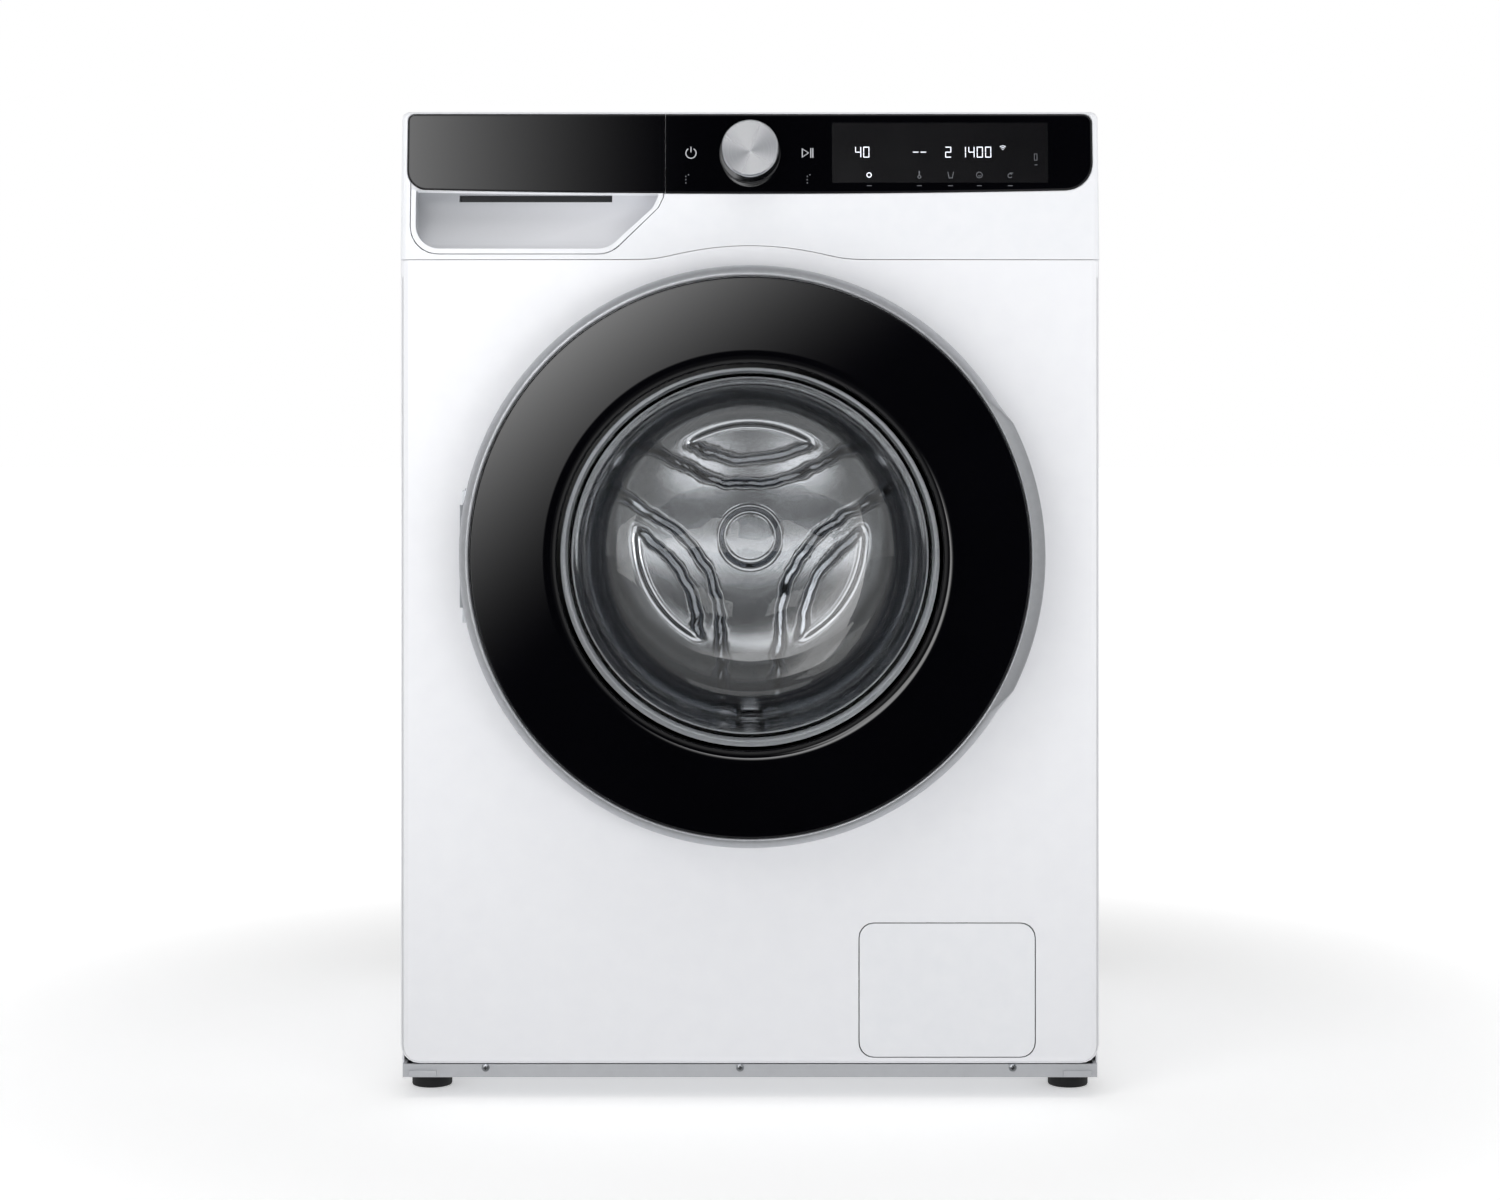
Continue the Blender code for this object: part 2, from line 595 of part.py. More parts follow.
def belt_outline(extra):
    """Round the drum pulley and down to the motor pulley, as the hull of two circles."""
    drop = AXIS_Z - MOTOR_Z
    big, small = PULLEY_R + 0.0012 + extra, MOTOR_PULLEY_R + 0.0007 + extra
    lean = math.asin((big - small) / drop)
    outline = []
    for step in range(41):
        angle = -lean + (math.pi + 2 * lean) * step / 40
        outline.append((big * math.cos(angle), big * math.sin(angle)))
    for step in range(13):
        angle = math.pi + lean + (math.pi - 2 * lean) * step / 12
        outline.append((small * math.cos(angle), small * math.sin(angle) - drop))
    return outline


def drive_belt(rubber, axle):
    obj = add_part("drive_belt", slab(belt_outline(BELT_THICK), "Y", 0.4995, 0.5125), rubber, axle)
    cut(obj, slab(belt_outline(0), "Y", 0.48, 0.54))


def heater(steel, axle):
    z, leg = -HEATER_DROP, 0.020
    half = [(-leg, 0.478, z), (-leg, 0.40, z), (-leg, 0.24, z), (-0.014, 0.21, z - 0.0002)]
    route = [*half, (0, 0.2, z - 0.0006), *((-x, y, low) for x, y, low in reversed(half))]
    pipe("heater", route, 0.003, steel, axle)


# Suspension

def suspension(materials, front):
    for side, name in ((-1, "left"), (1, "right")):
        centre = Vector((side * 0.262, 0.350, 0))
        turns, low, high, radius = 5, 0.6025, 0.7975, 0.009
        route = []
        for step in range(turns * 8 + 1):
            angle = math.tau * step / 8
            height = low + (high - low) * step / (turns * 8)
            route.append(centre + Vector((radius * math.cos(angle), radius * math.sin(angle), height)))
        pipe(f"spring_{name}", route, 0.0018, materials["steel"], front, sides=6)
        x = side * 0.190
        tube = [(0, 0.0228), (0.0115, 0.0228), (0.0115, 0.165), (0.0088, 0.165), (0.0088, 0.030), (0, 0.030)]
        place = (x, 0.20, 0)
        add_part(f"damper_tube_{name}", turned(tube, 16, upright=True), materials["dark"], front, place)
        plunger = rod(0.0055, 0.095, 0.2647, 16, upright=True)
        add_part(f"damper_rod_{name}", plunger, materials["steel"], front, place)


# Drain

def drain(materials, front):
    case = [(0, 0.165), (0.028, 0.165), (0.028, 0.112), (0.034, 0.112), (0.034, 0.024)]
    case += [(0.0275, 0.024), (0.0275, 0.085), (0, 0.085)]
    centre = (HATCH_X, 0, HATCH_Z)
    obj = add_part("drain_pump", turned(case, ROUND_SMALL), materials["tub"], front, centre)
    join(obj, block((-0.015, 0.050, -0.0712), (0.015, 0.100, -0.030)))
    join(obj, shifted(rod(0.015, 0.030, 0.0400, 16, upright=True), (0, 0.098, 0)))
    turn = Matrix.Rotation(math.radians(90), 3, "Z")
    join(obj, shifted(rod(0.009, 0.030, 0.0515, 16), (0, 0.100, -0.018), turn))
    plug = [(0, 0.0125), (0.033, 0.0125), (0.033, 0.0237), (0.0262, 0.0237), (0.0262, 0.080), (0, 0.080)]
    obj = add_part("filter_plug", turned(plug, ROUND_SMALL), materials["dark"], front, centre)
    join(obj, block((-0.004, 0.0060, -0.026), (0.004, 0.0140, 0.026), 0.001))
    x, y, z = HATCH_X, 0.098, HATCH_Z + 0.0403
    route = [(x, y, z), (x, y, z + 0.015), (x - 0.03, y + 0.005, z + 0.045), (x - 0.059, y + 0.01, z + 0.07)]
    route += [(x - 0.059, y + 0.01, 0.2215)]
    pipe("sump_hose", route, 0.013, materials["rubber"], front)
    x, y, z = HATCH_X - 0.0523, 0.100, HATCH_Z - 0.018
    route = [(x, y, z), (x - 0.015, y, z), (0.088, 0.14, 0.068), (0.088, 0.25, 0.055), (0.088, 0.42, 0.055)]
    x, z = OUTLET_SPOT
    route += [(0.095, 0.475, 0.07), (0.113, 0.505, 0.105), (x, 0.520, z), (x, DEPTH - 0.001, z)]
    pipe("drain_hose", route, 0.008, materials["rubber"], front)
    y, (x, z) = REAR_Y, CORD_SPOT
    gland = [(0.0050, y - 0.006), (0.0120, y - 0.006), (0.0120, y - 0.0003), (0.0083, y - 0.0003)]
    gland += [(0.0083, y + 0.0018), (0.0120, y + 0.0018), (0.0105, y + 0.010), (0.0050, y + 0.010)]
    add_part("cord_inlet", turned(gland, ROUND_SMALL), materials["dark"], front, (x, 0, z))


def filter_cover(plastic, hatch_hinge):
    width, height = HATCH_SIZE[0] - 0.0018, HATCH_SIZE[1] - 0.0018
    outline = rectangle(0, height / 2, width, height, 0.0125)
    add_part("filter_cover", slab(outline, "Y", 0, 0.0027), plastic, hatch_hinge)


# Door

def handle_share(angle):
    """0 on the plain rim, 1 along the handle, with short slanted ends."""
    return max(0.0, min(1.0, (math.radians(33) - abs(angle)) / math.radians(6)))


def door_ring(plastic, door_axis, place):
    profile = [(0.2318, -0.0020), (0.2453, -0.0020), (DOOR_R, -0.0050), (DOOR_R, -0.0300), (0.2455, -0.0370)]
    profile += [(0.2428, -0.0420), (0.2400, -0.0450), (0.2378, -0.0446), (0.2370, -0.0397), (0.2318, -0.0397)]
    bm = turned(profile, ROUND_DOOR)
    for vert in bm.verts:
        radius = math.hypot(vert.co.x, vert.co.z)
        share = handle_share(math.atan2(vert.co.z, vert.co.x))
        y = vert.co.y
        if radius < 0.2390 or not share or y > -0.004:
            continue
        target = 0.2478 if y < -0.0445 else 0.2488 if y < -0.035 else 0.2400
        scale = 1 + share * (target / radius - 1)
        vert.co.x *= scale
        vert.co.z *= scale
    obj = add_part("door_ring", bm, plastic, door_axis, place)
    cut(obj, block((-0.262, -0.0345, -0.057), (-0.215, 0.005, 0.057)))


def door_body(materials, door_axis, place):
    trim = [(0.1630, -0.0392), (0.1640, -0.0415), (0.1680, -0.0440), (0.1740, -0.0448), (0.2350, -0.0448)]
    trim += [(TRIM_R, -0.0440), (TRIM_R, -0.0400), (0.1740, -0.0400), (0.1655, -0.0392)]
    add_part("door_trim", turned(trim, ROUND_DOOR), materials["black"], door_axis, place)
    channel = [(0.1660, -0.0330), (0.1690, -0.0330), (0.1690, -0.0050), (0.2282, -0.0050), (0.2282, -0.0394)]
    channel += [(0.2312, -0.0394), (0.2312, -0.0020), (0.1660, -0.0020)]
    obj = add_part("door_inner_frame", turned(channel, ROUND_DOOR), materials["frame"], door_axis, place)
    cut(obj, block((-0.240, -0.0115, -0.046), (-0.216, -0.0052, 0.046)))
    cut(obj, block((0.1975, -0.010, -0.0085), (0.2160, 0.010, 0.0085)))
    bowl = [(0, 0.0875), (0.069, 0.0850), (0.116, 0.0765), (0.1372, 0.0590), (0.1458, 0.0335)]
    bowl += [(0.1515, 0.0040), (0.1565, -0.0200), (0.1600, -0.0388), (0.1725, -0.0388), (0.1725, -0.0334)]
    bowl += [(0.1642, -0.0334), (0.1610, -0.0200), (0.1560, 0.0050), (0.1500, 0.0350), (0.1410, 0.0620)]
    bowl += [(0.1180, 0.0810), (0.0700, 0.0895), (0, 0.0920)]
    add_part("door_bowl", turned(bowl, ROUND_DOOR), materials["clear"], door_axis, place)


def door_hinge(steel, door_axis):
    sleeve = rod(0.006, -0.0435, 0.0435, 16, upright=True)
    knuckle = add_part("door_hinge_arm", sleeve, steel, door_axis)
    back = -HINGE_Y
    join(knuckle, block((0.0010, 0.0, -0.0435), (0.0055, back - 0.0055, 0.0435)))
    join(knuckle, block((0.0012, back - 0.0100, -0.0432), (0.0520, back - 0.0058, 0.0432)))
    cut(knuckle, rod(0.0040, -0.06, 0.06, 16, upright=True))
    outline = [(-0.0050, back + PANEL_WALL + GAP), (0.0140, back + PANEL_WALL + GAP)]
    outline += [(0.0140, back + 0.005), (-0.0050, back + 0.005)]
    bracket = add_part("hinge_bracket", slab(outline, "Z", -0.068, 0.068), steel, door_axis)
    for side in (-1, 1):
        z = sorted((side * 0.0446, side * 0.0560))
        join(bracket, block((-0.0030, -0.0070, z[0]), (0.0080, back + 0.004, z[1])))
    cut(bracket, rod(0.0040, -0.06, 0.06, 16, upright=True))
    add_part("hinge_pin", rod(HINGE_PIN_R, -0.0560, 0.0560, 16, upright=True), steel, door_axis)


def door_latch(materials, front, hook_frame):
    hook = [(-0.0035, -0.006), (0.0035, -0.006), (0.0035, 0.024), (0.0060, 0.026), (0.0060, 0.031)]
    hook += [(-0.0035, 0.033)]
    add_part("latch_hook", slab(hook, "Z", -0.006, 0.006), materials["steel"], hook_frame)
    case = block((0.193, 0.0045, AXIS_Z - 0.040), (0.240, 0.038, AXIS_Z + 0.040), 0.001)
    obj = add_part("door_lock", case, materials["dark"], front)
    cut(obj, block((0.1970, 0.000, AXIS_Z - 0.0095), (0.2170, 0.030, AXIS_Z + 0.0095)))


def feet(rubber, front):
    profile = [(0, 0), (0.0165, 0), (FOOT_R, 0.0015), (FOOT_R, 0.0095), (0.0150, 0.0120), (0.0085, 0.0125)]
    profile += [(0.0085, 0.0172), (0.0050, 0.0172), (0.0050, 0.0480), (0, 0.0480)]
    for end, y in zip(("front", "rear"), FOOT_Y):
        for side, x in (("left", -FOOT_X), ("right", FOOT_X)):
            add_part(f"foot_{end}_{side}", turned(profile, 16, upright=True), rubber, front, (x, y, 0))


def finishes():
    return {
        "steel": finish("zinc_steel", "a8abb0", 0.35, 1.0),
        "cabinet": finish("white_enamel", "f1f2f5", 0.30),
        "white": finish("white_abs", "f3f4f7", 0.35),
        "laminate": finish("worktop_laminate", "f2f3f5", 0.40),
        "grey": finish("grey_plastic", "9a9ca0", 0.35, 0.3),
        "rail": finish("grey_painted_steel", "9fa1a5", 0.45, 0.2),
        "black": finish("black_glass", "050507", 0.06),
        "clear": finish("clear_glass", "eef2f2", 0.02, 0.0, 1.0),
        "frame": finish("grey_abs", "b9bcc0", 0.45),
        "dial": finish("brushed_aluminium", "c9cacd", 0.28, 1.0),
        "dark": finish("black_plastic", "1c1d20", 0.5),
        "board": finish("board_housing", "3a4a3c", 0.6),
        "tray": finish("white_polypropylene", "e6e8ec", 0.45),
        "blue": finish("blue_polypropylene", "5f86b8", 0.45),
        "rubber": finish("grey_rubber", "6e7074", 0.7),
        "foot": finish("black_rubber", "17181a", 0.65),
        "tub": finish("grey_polypropylene", "b4b6b8", 0.55),
        "iron": finish("cast_iron", "4a4b4d", 0.75, 0.6),
        "drum": finish("stainless_steel", "c4c6c9", 0.18, 1.0),
        "aluminium": finish("cast_aluminium", "a9abae", 0.45, 1.0),
    }


def main():
    clear_scene()
    materials = finishes()
    front = frame_at("front_plane", (0, FRONT_Y, 0))
    axle = frame_at("drum_axis", (0, FRONT_Y, AXIS_Z))
    motor_axis = frame_at("motor_axis", (0, FRONT_Y, MOTOR_Z))
    knob_y = FRONT_Y + (KNOB_Z - SEAM_Z) * math.tan(TILT)
    knob_frame = frame_at("knob_axis", (0, knob_y, KNOB_Z), (-TILT, 0, 0))
    door_axis = frame_at("door_hinge_axis", (HINGE_X, FRONT_Y + HINGE_Y, AXIS_Z))
    hook_frame = frame_at("latch_hook_axis", (0.2065, FRONT_Y - 0.012, AXIS_Z))
    hatch_low = HATCH_Z - HATCH_SIZE[1] / 2 + 0.0009
    hatch_hinge = frame_at("hatch_hinge_axis", (HATCH_X, FRONT_Y, hatch_low))
    side_panels(materials["cabinet"], front)
    base_tray(materials["rail"], front)
    front_panel(materials["cabinet"], front)
    rear_panel(materials["steel"], front)
    rear_cover(materials["steel"], axle)
    worktop(materials["laminate"], front)
    knob_hole = fascia(materials["white"], front, knob_frame)
    control_glass(materials["black"], front, knob_hole)
    controls(materials, front, knob_frame)
    drawer(materials, front)
    dispenser(materials, front)
    water_valve(materials["white"], front)
    tub(materials, axle)
    counterweights(materials["iron"], axle)
    gasket(materials["rubber"], axle)
    drum(materials, axle)
    motor(materials, motor_axis)
    drive_belt(materials["foot"], axle)
    heater(materials["steel"], axle)
    suspension(materials, front)
    drain(materials, front)
    filter_cover(materials["white"], hatch_hinge)
    place = (-HINGE_X, -HINGE_Y, 0)
    door_ring(materials["grey"], door_axis, place)
    door_body(materials, door_axis, place)
    door_hinge(materials["steel"], door_axis)
    door_latch(materials, front, hook_frame)
    feet(materials["foot"], front)


main()
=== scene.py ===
"""The looks of a front load washing machine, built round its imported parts."""

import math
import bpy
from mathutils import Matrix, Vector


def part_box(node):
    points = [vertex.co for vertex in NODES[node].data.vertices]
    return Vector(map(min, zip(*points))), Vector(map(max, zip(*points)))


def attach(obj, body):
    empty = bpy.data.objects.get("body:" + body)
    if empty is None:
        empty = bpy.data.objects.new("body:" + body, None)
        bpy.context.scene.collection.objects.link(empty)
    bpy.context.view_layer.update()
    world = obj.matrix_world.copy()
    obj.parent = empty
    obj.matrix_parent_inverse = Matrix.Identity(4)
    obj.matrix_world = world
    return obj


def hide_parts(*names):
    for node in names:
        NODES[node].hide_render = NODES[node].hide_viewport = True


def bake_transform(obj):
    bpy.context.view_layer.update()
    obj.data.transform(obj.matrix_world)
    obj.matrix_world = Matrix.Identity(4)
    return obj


bl_info = {
    "name": "Front Load Washing Machine",
    "version": (1, 0, 0),
    "blender": (4, 5, 0),
    "location": "3D View > Sidebar > Washer",
    "description": "Builds the visible pieces, finishes and studio of a front load washing machine",
    "category": "Object",
}

import bmesh
import bpy
from bpy.props import FloatProperty, FloatVectorProperty, IntProperty, PointerProperty
from mathutils import Matrix, Vector, noise

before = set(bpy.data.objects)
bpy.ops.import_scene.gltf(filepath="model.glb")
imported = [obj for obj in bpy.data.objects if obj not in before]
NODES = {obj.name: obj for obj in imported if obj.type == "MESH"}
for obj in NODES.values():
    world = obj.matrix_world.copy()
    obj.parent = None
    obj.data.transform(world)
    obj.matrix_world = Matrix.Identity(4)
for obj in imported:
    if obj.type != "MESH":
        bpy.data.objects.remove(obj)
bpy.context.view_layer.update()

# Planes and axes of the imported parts, in metres
FRONT_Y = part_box("front_panel")[0].y
SEAM_Z = 0.720
AXIS_Z = sum(corner.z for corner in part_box("drum_shell")) / 2
TILT = math.radians(7)
FASCIA_DEPTH = 0.040
GLASS_TOP, GLASS_LOW, GLASS_LEFT = 0.8466, 0.7773, -0.2948
GLASS_SPLIT, GLASS_BOW = -0.0728, 0.0034
GLASS_FRONT, GLASS_BACK = -0.0010, 0.0019
KNOB_Z = 0.812
FOOT_X, FOOT_Y = 0.279, (0.062, 0.500)
REAR_Y = 0.536


def linear(colour):
    """An sRGB hex colour as linear red, green and blue."""
    values = [int(colour[i : i + 2], 16) / 255 for i in (0, 2, 4)]
    return tuple(v / 12.92 if v <= 0.04045 else ((v + 0.055) / 1.055) ** 2.4 for v in values)


# Shapes


def rounded(corners, steps=6):
    """An outline whose (across, up, radius) corners are each rounded by their own radius."""
    outline = []
    for index, (x, z, radius) in enumerate(corners):
        here = Vector((x, z))
        if not radius:
            outline.append((x, z))
            continue
        before = (Vector(corners[index - 1][:2]) - here).normalized()
        after = (Vector(corners[(index + 1) % len(corners)][:2]) - here).normalized()
        half = before.angle(after) / 2
        centre = here + (before + after).normalized() * radius / math.sin(half)
        first = here + before * radius / math.tan(half) - centre
        last = here + after * radius / math.tan(half) - centre
        swing = math.atan2(first.cross(last), first.dot(last))
        for step in range(steps + 1):
            turn = Matrix.Rotation(swing * step / steps, 2)
            outline.append(tuple(centre + turn @ first))
    return outline


def turned(profile, steps, upright=False, close=True):
    """A (radius, along) profile spun once round Y, or round Z when upright."""
    bm = bmesh.new()
    verts = [bm.verts.new((r, 0, h) if upright else (r, h, 0)) for r, h in profile]
    edges = [bm.edges.new(pair) for pair in zip(verts, verts[1:])]
    if close and min(r for r, _ in profile) > 0:
        edges.append(bm.edges.new((verts[-1], verts[0])))
    axis = (0, 0, 1) if upright else (0, 1, 0)
    bmesh.ops.spin(
        bm, geom=verts + edges, cent=(0, 0, 0), axis=axis, angle=math.tau, steps=steps, use_merge=True
    )
    bmesh.ops.remove_doubles(bm, verts=bm.verts, dist=1e-6)
    bmesh.ops.recalc_face_normals(bm, faces=bm.faces)
    return bm


def slab(outline, low, high):
    """A flat (x, z) outline given depth along Y."""
    bm = bmesh.new()
    face = bm.faces.new([bm.verts.new((x, low, z)) for x, z in outline])
    moved = bmesh.ops.extrude_face_region(bm, geom=[face])["geom"]
    verts = [v for v in moved if isinstance(v, bmesh.types.BMVert)]
    bmesh.ops.translate(bm, verts=verts, vec=(0, high - low, 0))
    bmesh.ops.recalc_face_normals(bm, faces=bm.faces)
    return bm


def lean_back(bm):
    """Tilts a fascia piece the way the control panel leans."""
    for vert in bm.verts:
        share = max(0.0, 1 - max(vert.co.y, 0) / FASCIA_DEPTH)
        vert.co.y += (vert.co.z - SEAM_Z) * math.tan(TILT) * share
    return bm


def moved(bm, offset, turn=None):
    if turn:
        bmesh.ops.rotate(bm, verts=bm.verts, cent=(0, 0, 0), matrix=turn)
    bmesh.ops.translate(bm, verts=bm.verts, vec=offset)
    return bm


def soften(bm, edges, width, segments=3):
    bmesh.ops.bevel(
        bm, geom=list(edges), offset=width, segments=segments, profile=0.5, affect="EDGES", material=-1
    )


def front_edges(bm):
    """The edges that lie wholly in the nearest face."""
    near = min(v.co.y for v in bm.verts)
    return [e for e in bm.edges if all(v.co.y - near < 1e-6 for v in e.verts)]


def piece(name, bm, material, body, replaces=(), offset=(0, 0, 0), sharp=32):
    """Makes a shape a finished piece that rides on a body and stands for CAD nodes."""
    bmesh.ops.translate(bm, verts=bm.verts, vec=offset)
    mesh = bpy.data.meshes.new(name)
    bm.to_mesh(mesh)
    bm.free()
    mesh.materials.append(bpy.data.materials[material])
    mesh.shade_smooth()
    mesh.set_sharp_from_angle(angle=math.radians(sharp))
    obj = bpy.data.objects.new(name, mesh)
    bpy.context.scene.collection.objects.link(obj)
    if body:
        # Broad faces keep their own normals beside fine bevels.
        obj.modifiers.new("Weighted Normal", "WEIGHTED_NORMAL").keep_sharp = True
        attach(obj, body)
    if replaces:
        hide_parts(*replaces)
    return obj


def merged(shapes):
    """Several separate shapes as one mesh."""
    whole = bmesh.new()
    for shape in shapes:
        mesh = bpy.data.meshes.new("part_of_whole")
        shape.to_mesh(mesh)
        shape.free()
        whole.from_mesh(mesh)
        bpy.data.meshes.remove(mesh)
    return whole


AXLE = (0, FRONT_Y, AXIS_Z)
FRONT = (0, FRONT_Y, 0)


# Finishes


def add_node(tree, kind, inputs=(), **settings):
    """Adds a node, sets it up and links or fills its inputs."""
    node = tree.nodes.new(f"ShaderNode{kind}")
    for key, value in settings.items():
        setattr(node, key, value)
    for socket, value in dict(inputs).items():
        if isinstance(value, bpy.types.NodeSocket):
            tree.links.new(value, node.inputs[socket])
        else:
            node.inputs[socket].default_value = value
    return node


def blank(name):
    """A new material's node tree, its shader and the place in an object's own space."""
    material = bpy.data.materials.new(name)
    material.use_nodes = True
    tree = material.node_tree
    return tree, tree.nodes["Principled BSDF"], add_node(tree, "TexCoord").outputs["Object"]


def fill(shader, **values):
    """Sets a shader's sockets, named with underscores for spaces."""
    for socket, value in values.items():
        shader.inputs[socket.replace("_", " ")].default_value = value


def spread(tree, shader, pattern, colours, roughness):
    """Runs a 0 to 1 pattern into the shader's colour and roughness."""
    ramp = add_node(tree, "Mix", {"Factor": pattern}, data_type="RGBA")
    ramp.inputs[6].default_value = (*linear(colours[0]), 1)
    ramp.inputs[7].default_value = (*linear(colours[1]), 1)
    tree.links.new(ramp.outputs[2], shader.inputs["Base Color"])
    rough = add_node(tree, "MapRange", {"Value": pattern, "To Min": roughness[0], "To Max": roughness[1]})
    tree.links.new(rough.outputs[0], shader.inputs["Roughness"])


def surface(name, colours, roughness, grain_mm, bump_mm=0.0, metallic=0.0, **sockets):
    """A finish with a cloudy change of colour and gloss and a fine grain in relief."""
    tree, shader, place = blank(name)
    cloud = add_node(tree, "TexNoise", {"Vector": place, "Scale": 1000 / (grain_mm * 12), "Detail": 3})
    spread(tree, shader, cloud.outputs[0], colours, roughness)
    if bump_mm:
        grain = add_node(tree, "TexNoise", {"Vector": place, "Scale": 1000 / grain_mm, "Detail": 2})
        relief = add_node(
            tree, "Bump", {"Height": grain.outputs[0], "Strength": 0.6, "Distance": bump_mm / 1000}
        )
        tree.links.new(relief.outputs[0], shader.inputs["Normal"])
    fill(shader, Metallic=metallic, **sockets)
    return shader


def plastic_with_painted_shade(name, colours, roughness):
    """Plastic of the finger scoop: greyer toward its upper left end as painted shade of the hollow under
    the lip, and faintly mottled.
    """
    tree, shader, place = blank(name)
    # Painted shade: the colour darkens toward the upper left, under the overhanging lip.
    along = add_node(tree, "VectorMath", {0: place, 1: (5.2, 0, -14.0)}, operation="DOT_PRODUCT")
    level = add_node(tree, "Math", {0: along.outputs["Value"], 1: 12.22}, operation="ADD")
    mottle = add_node(tree, "TexNoise", {"Vector": place, "Scale": 600.0, "Detail": 2})
    lifted = add_node(tree, "Math", {0: mottle.outputs[0], 1: 0.05}, operation="MULTIPLY")
    total = add_node(tree, "Math", {0: level.outputs[0], 1: lifted.outputs[0]}, operation="ADD")
    held = add_node(tree, "Clamp", {"Value": total.outputs[0]})
    spread(tree, shader, held.outputs[0], colours, roughness)


def spangled(name, colours, roughness, spangle_mm):
    """Hot-dip zinc: flat crystals of slightly different grey with fine frost."""
    tree, shader, place = blank(name)
    crystals = add_node(tree, "TexVoronoi", {"Vector": place, "Scale": 1000 / spangle_mm})
    tone = add_node(tree, "RGBToBW", {"Color": crystals.outputs["Color"]})
    spread(tree, shader, tone.outputs[0], colours, roughness)
    fill(shader, Metallic=0.9)


def turned_metal(name, colours, roughness, centre, sectors=0, contrast=0.5, anisotropic=0.6):
    """Metal brushed or polished in circles about an axis along Y; when sectors are asked for, light and
    dark sectors are painted into its colour as the highlights and shade of a brushed sheen.
    """
    tree, shader, place = blank(name)
    about = add_node(
        tree, "Mapping", {"Vector": place, "Location": [-c for c in centre]}
    ).outputs[0]
    parts = add_node(tree, "SeparateXYZ", {"Vector": about})
    flat = add_node(tree, "CombineXYZ", {"X": parts.outputs[0], "Y": parts.outputs[2]})
    radius = add_node(tree, "VectorMath", {0: flat.outputs[0]}, operation="LENGTH")
    rings = add_node(
        tree,
        "TexNoise",
        {"W": radius.outputs["Value"], "Scale": 1400.0, "Detail": 3},
        noise_dimensions="1D",
    )
    tone = rings.outputs[0]
    # Painted highlight and shade: light and dark sectors round the axis, standing for the sheen of the
    # brushing.
    if sectors:
        angle = add_node(tree, "Math", {0: parts.outputs[2], 1: parts.outputs[0]}, operation="ARCTAN2")
        turns = add_node(tree, "Math", {0: angle.outputs[0], 1: float(sectors)}, operation="MULTIPLY")
        shifted = add_node(tree, "Math", {0: turns.outputs[0], 1: 0.9}, operation="ADD")
        wave = add_node(tree, "Math", {0: shifted.outputs[0]}, operation="SINE")
        wide = add_node(
            tree, "MapRange", {"Value": wave.outputs[0], "From Min": -1.0, "To Min": 0.0, "To Max": 1.0}
        )
        blend = add_node(tree, "Mix", {"Factor": contrast, "A": tone, "B": wide.outputs[0]})
        tone = blend.outputs[0]
    spread(tree, shader, tone, colours, roughness)
    fill(shader, Metallic=1.0, Anisotropic=anisotropic)
    relief = add_node(tree, "Bump", {"Height": rings.outputs[0], "Strength": 0.25, "Distance": 0.00002})
    tree.links.new(relief.outputs[0], shader.inputs["Normal"])


def glass(name, colour, roughness, ior):
    """Pressed clear glass, with a faint ripple from the mould."""
    tree, shader, place = blank(name)
    ripple = add_node(tree, "TexNoise", {"Vector": place, "Scale": 26.0, "Detail": 1})
    relief = add_node(tree, "Bump", {"Height": ripple.outputs[0], "Strength": 0.25, "Distance": 0.0006})
    tree.links.new(relief.outputs[0], shader.inputs["Normal"])
    fill(shader, Base_Color=(*linear(colour), 1), Roughness=roughness, IOR=ior, Transmission_Weight=1.0)


